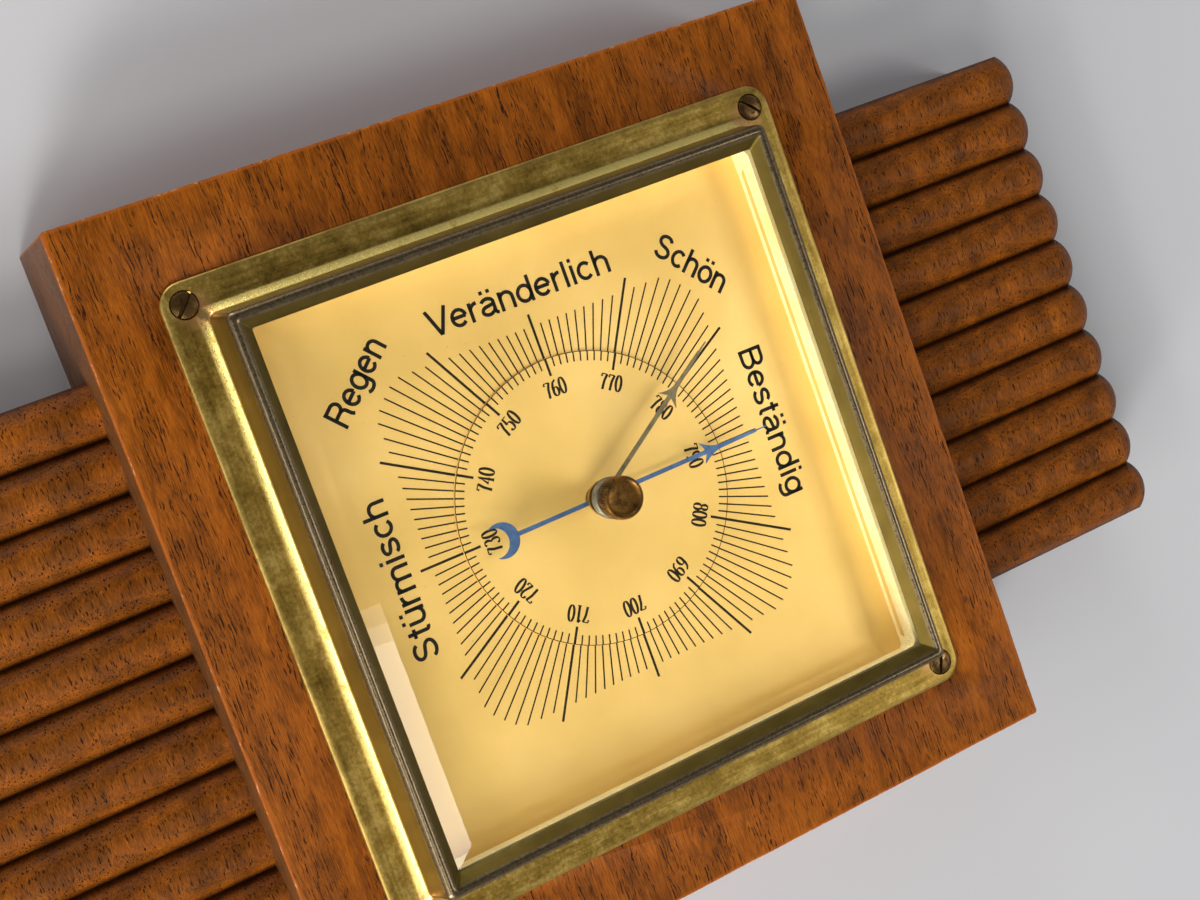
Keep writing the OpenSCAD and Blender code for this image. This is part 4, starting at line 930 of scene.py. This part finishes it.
# Advance and centre lines of the plain letters, on capitals 1 high
WORD_PEN = 0.72
ARCH = [(0.1, 0), (0.1, 0.44)] + arc(0.3, 0.445, 0.2, 0.22, 180, 0) + [(0.5, 0.44), (0.5, 0)]
CUP = [(0.1, 0.74), (0.1, 0.3)] + arc(0.3, 0.295, 0.2, 0.22, 180, 360) + [(0.5, 0.3), (0.5, 0.74)]
BOWL = arc(0.295, 0.37, 0.22, 0.295, 0, 360, 28)
STEM = [(0.1, 0), (0.1, 1)]
SPUR = [(0.1, 0.4), (0.1, 0.74)]
DOTS = [[(0.18, 0.86), (0.18, 1)], [(0.42, 0.86), (0.42, 1)]]
LETTERS = {
    "V": (0.72, [[(0.04, 1), (0.36, 0)], [(0.36, 0), (0.68, 1)]]),
    "B": (0.74, [
        STEM,
        [(0.1, 0.925), (0.38, 0.925)] + arc(0.4, 0.73, 0.2, 0.195, 90, -90) + [(0.1, 0.535)],
        [(0.1, 0.535), (0.4, 0.535)] + arc(0.41, 0.305, 0.225, 0.23, 90, -90) + [(0.1, 0.075)],
    ]),
    "R": (0.76, [
        STEM,
        [(0.1, 0.925), (0.4, 0.925)] + arc(0.42, 0.715, 0.2, 0.21, 90, -90) + [(0.1, 0.505)],
        [(0.38, 0.505)] + arc(0.42, 0.33, 0.17, 0.17, 80, 10) + [(0.6, 0.12), (0.65, 0)],
    ]),
    "S": (0.74, [arc(0.355, 0.725, 0.225, 0.2, 15, 250) + arc(0.355, 0.29, 0.25, 0.215, 75, -165)]),
    "a": (0.62, [
        arc(0.285, 0.505, 0.195, 0.16, 160, 0) + [(0.48, 0.16), (0.51, 0.08), (0.58, 0.06)],
        [(0.48, 0.43), (0.36, 0.405)] + arc(0.26, 0.23, 0.185, 0.155, 100, 290)
        + [(0.44, 0.16), (0.48, 0.28)],
    ]),
    "c": (0.57, [arc(0.295, 0.37, 0.22, 0.295, 42, 318)]),
    "d": (0.62, [[(0.515, 0), (0.515, 1)], BOWL]),
    "e": (0.61, [[(0.075, 0.39), (0.525, 0.39)], arc(0.3, 0.37, 0.225, 0.295, 5, 320)]),
    "g": (0.62, [[(0.515, 0.74), (0.515, 0)] + arc(0.3, -0.03, 0.215, 0.17, 0, -150), BOWL]),
    "h": (0.61, [ARCH, [(0.1, 0.4), (0.1, 1)]]),
    "i": (0.25, [[(0.125, 0), (0.125, 0.74)], [(0.125, 0.86), (0.125, 1)]]),
    "l": (0.25, [[(0.125, 0), (0.125, 1)]]),
    "m": (0.93, [
        [(0.1, 0), (0.1, 0.47)] + arc(0.28, 0.475, 0.18, 0.19, 180, 0) + [(0.46, 0)],
        [(0.46, 0.47)] + arc(0.64, 0.475, 0.18, 0.19, 180, 0) + [(0.82, 0)],
        SPUR,
    ]),
    "n": (0.61, [ARCH, SPUR]),
    "o": (0.6, [arc(0.3, 0.37, 0.23, 0.295, 0, 360, 28)]),
    "r": (0.39, [[(0.1, 0), (0.1, 0.74)], arc(0.35, 0.43, 0.25, 0.24, 180, 92)]),
    "s": (0.55, [arc(0.265, 0.53, 0.175, 0.14, 15, 250) + arc(0.265, 0.225, 0.195, 0.15, 70, -165)]),
    "t": (0.36, [
        [(0.17, 0.93), (0.17, 0.18)] + arc(0.27, 0.175, 0.1, 0.1, 180, 280),
        [(0.02, 0.67), (0.31, 0.67)],
    ]),
    "u": (0.61, [CUP, [(0.5, 0.4), (0.5, 0)]]),
}
MARKED = {"ä": "a", "ö": "o", "ü": "u"}


def pen_outline(path, closed, thin, thick):
    """Left and right sides of a stroke whose width follows its direction."""
    n = len(path)
    left, right = [], []
    for i, (x, z) in enumerate(path):
        before = path[(i - 1) % n] if closed or i > 0 else path[i]
        after = path[(i + 1) % n] if closed or i < n - 1 else path[i]
        along = Vector((after[0] - before[0], after[1] - before[1])).normalized()
        half = (thin + (thick - thin) * abs(along.y) ** PEN_TURN) / 2
        left.append((x - along.y * half, z + along.x * half))
        right.append((x + along.y * half, z - along.x * half))
    return left, right


def stroke_quads(path, thin, thick, angle):
    """Quads that draw a centre line with a pen, turned clockwise by an angle."""
    closed = math.dist(path[0], path[-1]) < 0.01
    path = path[:-1] if closed else path
    left, right = pen_outline(path, closed, thin, thick)
    quads = []
    for i in range(len(path) if closed else len(path) - 1):
        j = (i + 1) % len(path)
        quads.append([clockwise(x, z, angle) for x, z in (left[i], left[j], right[j], right[i])])
    return quads


def numeral_parts(text, angle, radius):
    """Quads that draw a numeral, its top outward, at an angle clockwise from the top."""
    parts = []
    for index, digit in enumerate(text):
        start = (index - len(text) / 2) * NUMERAL_ADVANCE + NUMERAL_SIDE
        for stroke in NUMERALS[digit]:
            path = [(start + x * NUMERAL_UNIT, radius + z * NUMERAL_UNIT) for x, z in stroke]
            parts += stroke_quads(path, THIN_PEN, THICK_PEN, angle)
    return parts


def numerals(material):
    parts = []
    for step, reading in enumerate(READINGS):
        parts += numeral_parts(str(reading), 2 * math.pi * step / len(READINGS), NUMERAL_FOOT)
    return film("numerals", parts, [disc_front] * len(parts), material)


def word_strokes(text):
    """Centre lines of a word, its first letter starting at 0."""
    strokes = []
    start = 0.0
    for letter in text:
        advance, lines = LETTERS[MARKED.get(letter, letter)]
        if letter in MARKED:
            lines = lines + DOTS
        strokes += [[(start + x, y) for x, y in line] for line in lines]
        start += advance
    return strokes


def word(index, text, x, z, turn, width, material):
    """One word on the dial, turned anticlockwise."""
    strokes = word_strokes(text)
    ends = [u for stroke in strokes for u, _ in stroke]
    middle = (min(ends) + max(ends)) / 2
    stretch = (width - WORD_PEN) / (max(ends) - min(ends))
    parts = []
    for stroke in strokes:
        path = [((u - middle) * stretch, (v - 0.5) * CAP_HEIGHT) for u, v in stroke]
        parts += stroke_quads(path, WORD_PEN, WORD_PEN, math.radians(-turn))
    shifted = [[(x + u, z + v) for u, v in quad] for quad in parts]
    made = film("word_%d" % index, shifted, [dial_front] * len(shifted), material)


# Knob and bush

def set_knob(material):
    """Knurled knob with a dished top, and its spindle down to the set hand."""
    top = knob_front
    bottom = collar_front + KNOB_GAP
    r = knob_r
    spindle_end = reach("set_hand")[2]
    profile = [(0, spindle_end), (SPINDLE_R, spindle_end), (SPINDLE_R, bottom)]
    profile += [(r - inset, bottom + rise, toothed) for inset, rise, toothed in KNOB_FOOT]
    profile += [(r - inset, top - drop, toothed) for inset, drop, toothed in KNOB_RIM]
    profile += [(r * s, top - DISH_EDGE - DISH_DEPTH * (1 - s * s)) for s in (0.75, 0.6, 0.45, 0.3, 0.15)]
    profile += [(0, top - DISH_EDGE - DISH_DEPTH)]
    points, faces = lathe(profile, KNOB_TEETH * TOOTH_STEPS, KNOB_TEETH, TOOTH_DEPTH)
    made = piece("knurled_knob", points, faces, material, "set_spindle", 50)
    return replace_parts(made, "set_knob")


def bush_collar(material):
    """Collar of the bush on the glass, and its sleeve through the glass."""
    r = collar_r
    foot = glass_front
    top = collar_front
    rows = [(BUSH_BORE, collar_back), (SLEEVE_R, collar_back), (SLEEVE_R, foot), (r - 0.15, foot)]
    rows += [(r, foot + 0.15), (r, foot + 0.6), (r - 0.12, foot + 0.7), (r, foot + 0.8)]
    rows += [(r, top - 0.35), (r - 0.1, top - 0.15), (r - 0.35, top), (BUSH_BORE, top)]
    steps = 96
    points = []
    for radius, depth in rows:
        points += circle(radius, depth, steps)
    made = piece("bush_collar", points, ring_faces(len(rows), steps, True), material, "case", 30)
    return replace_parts(made, "set_bush")


# Movement

def drum_chain(material):
    """Beaded chain from the drum up to the long arm."""
    low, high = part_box("chain")
    x = (low.x + high.x) / 2
    y = (low.y + high.y) / 2
    radius = (high.x - low.x) / 2
    rows = CHAIN_BEADS * BEAD_ROWS
    points = []
    for row in range(rows + 1):
        swell = abs(math.sin(math.pi * row / BEAD_ROWS))
        r = radius * (NECK_SHARE + (1 - NECK_SHARE) * swell)
        z = low.z + (high.z - low.z) * row / rows
        for i in range(BEAD_SIDES):
            a = 2 * math.pi * i / BEAD_SIDES
            points.append((x + r * math.cos(a), y + r * math.sin(a), z))
    made = piece("drum_chain", points, capped_faces(rows + 1, BEAD_SIDES), material, "case", 60)
    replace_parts(made, "chain")
    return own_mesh(made)


# Studio, in metres

WALL_Y = 0.4 * MM
WALL_HALF = 3.0
TOUCHING = 1.5 * MM
WALL_SHADES = (rgb(206, 206, 210), rgb(215, 215, 218))
LAMP_AIM = (0, -0.02, 0)
CARD_AIM = (-0.05, -0.04, -0.02)
CARD_WIDTH = 0.10
CARD_WATTS = 0.46
CARD_TINT = (1.0, 0.97, 0.92)
CARD_SHARES = (0.30, 0.30, 0.40)
# Name, place, width, height, watts and colour
LAMPS = (
    ("below", (-0.84, -0.59, -0.86), 1.1, 0.28, 17.0, (1.0, 0.985, 0.96)),
    ("right", (0.80, -0.92, -0.26), 0.36, 0.36, 2.6, (1.0, 0.98, 0.95)),
    ("top", (-0.25, -0.38, 1.15), 0.8, 0.35, 5.5, (1, 1, 1)),
    ("left_strip", (-0.88, -0.63, -0.24), 0.12, 0.6, 2.4, (1.0, 0.98, 0.94)),
)
BACK_LAMP = ("behind", (0.6, 1.3, 0.7), 1.2, 1.2, 5.0, (1, 1, 1))
# Room in front of the instrument, from dim behind the camera to pale at its sides
DIM_AT = -0.72
PALE_AT = 0.0
ROOM_DIM = (0.10, 0.102, 0.105, 1)
ROOM_PALE = (0.80, 0.82, 0.86, 1)
ROOM_STRENGTH = 0.75


def stage():
    """A pale wall just behind the instrument. Seen from behind it is clear, so the back shows."""
    mesh = bpy.data.meshes.new("backdrop")
    corners = [(-1, -1), (1, -1), (1, 1), (-1, 1)]
    mesh.from_pydata([(WALL_HALF * u, WALL_Y, WALL_HALF * v) for u, v in corners], [], [(0, 1, 2, 3)])
    s = Surface("pale_wall")
    cloud = s.noise(140, 4, 0.5)
    grain = s.noise(1.2, 2)
    s.finish(s.mix(cloud, *WALL_SHADES), s.times_add(grain, 0.1, 0.6))
    path = s.node("LightPath")
    geometry = s.node("NewGeometry")
    close = s.math("LESS_THAN", path.outputs["Ray Length"], TOUCHING)
    touching = s.times(close, s.minus(1.0, path.outputs["Is Camera Ray"]))
    clear = s.math("MAXIMUM", geometry.outputs["Backfacing"], touching)
    mesh.materials.append(s.see_through(clear, s.node("BsdfTransparent")))
    place("backdrop", mesh)


def lamp(name, where, width, height, watts, colour, aim=LAMP_AIM):
    light = bpy.data.lights.new(name, "AREA")
    light.shape = "RECTANGLE"
    light.size = width
    light.size_y = height
    light.energy = watts
    light.color = colour
    made = place(name, light)
    made.location = where
    made.rotation_euler = (Vector(aim) - Vector(where)).to_track_quat("-Z", "Y").to_euler()


def lamps():
    """Soft lamps, and pale cards one behind another that fade the reflection in the left bevel."""
    for entry in LAMPS:
        lamp(*entry)
    for i, share in enumerate(CARD_SHARES):
        height = 0.20 - 0.012 * i
        where = (-0.20, -0.66 - 0.01 * i, -0.30 + height / 2)
        lamp("card_%d" % i, where, CARD_WIDTH, height, CARD_WATTS * share, CARD_TINT, CARD_AIM)
    lamp(*BACK_LAMP)


def room():
    """A dim room behind the camera that grows paler towards its sides."""
    world = bpy.data.worlds.new("room")
    bpy.context.scene.world = world
    world.use_nodes = True
    tree = world.node_tree
    kinds = ("TexCoord", "SeparateXYZ", "MapRange", "ValToRGB")
    direction, split, shade, ramp = [tree.nodes.new("ShaderNode" + kind) for kind in kinds]
    background = tree.nodes["Background"]
    tree.links.new(direction.outputs["Generated"], split.inputs[0])
    tree.links.new(split.outputs["Y"], shade.inputs["Value"])
    tree.links.new(shade.outputs["Result"], ramp.inputs["Fac"])
    tree.links.new(ramp.outputs["Color"], background.inputs["Color"])
    shade.inputs["From Min"].default_value = DIM_AT
    shade.inputs["From Max"].default_value = PALE_AT
    ramp.color_ramp.elements[0].color = ROOM_DIM
    ramp.color_ramp.elements[1].color = ROOM_PALE
    background.inputs["Strength"].default_value = ROOM_STRENGTH


def camera():
    """The camera that took the photograph."""
    made = place("camera", bpy.data.cameras.new("camera"))
    forward = Vector(CAMERA_FORWARD).normalized()
    right = forward.cross(Vector(CAMERA_UP)).normalized()
    up = right.cross(forward)
    turn = Matrix((right, up, -forward)).transposed().to_4x4()
    made.matrix_world = Matrix.Translation(Vector(CAMERA_AT) * MM) @ turn
    made.data.sensor_width = SENSOR_WIDTH
    made.data.sensor_fit = "HORIZONTAL"
    made.data.lens = CAMERA_LENS
    made.data.clip_start = 0.01
    bpy.context.scene.camera = made


def paint(material, *names):
    """Gives CAD nodes one material."""
    for slot in [slot for name in names for slot in nodes[name].material_slots]:
        slot.material = material


def paint_slot(material, slot):
    """Paints every CAD node of one material slot of the record."""
    names = [part["node"] for part in frame["record"]["subparts"] if part["material_slot"] == slot]
    paint(material, *names)


def bezel_screws(material):
    for i, (sx, sz, angle) in enumerate(SCREW_SLOTS):
        made = slotted_screw("bezel_screw_%d" % i, sx * SCREW_AT, sz * SCREW_AT, angle, material)
        if i == 0:
            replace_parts(made, "bezel_screws")


def dial_print():
    tick_ink = ink("tick_ink", TICK_INK)
    word_ink = ink("word_ink", WORD_INK)
    scale_ticks(tick_ink)
    disc_edge(tick_ink)
    numerals(tick_ink)
    for i, entry in enumerate(WORDS):
        word(i, *entry, word_ink)


def build():
    case_block(oak("case_oak", CASE_CUT))
    paint(oak("wing_oak", WING_CUT), "left_wing", "right_wing")
    paint(plain_wood("inner_wood"), "wing_dowels", "back_cover")
    bezel_frame(bezel_brass("aged_bezel_brass"))
    bezel_screws(metal("screw_brass"))
    paint(metal("plain_brass"), "cover_screws", "hanger_plate", "hanger_screws", "dial_feet", "bush_nut")
    paint(clear_glass("clear_glass"), "glass")
    paint(metal("gilt"), "glass_slip")
    paint(dial_gold("dial_gold"), "dial_plate", "scale_disc")
    dial_print()
    set_knob(metal("knob_brass"))
    bush_collar(metal("collar_metal"))
    paint(metal("hand_brass"), "set_hand")
    paint(metal("blued_steel"), "pointer", "main_spring", "hairspring")
    paint_slot(metal("movement_brass"), "movement_brass")
    steel = metal("plain_steel")
    drum_chain(steel)
    paint_slot(steel, "steel")


camera()
stage()
lamps()
room()
build()
bpy.context.scene.view_settings.view_transform = "Standard"
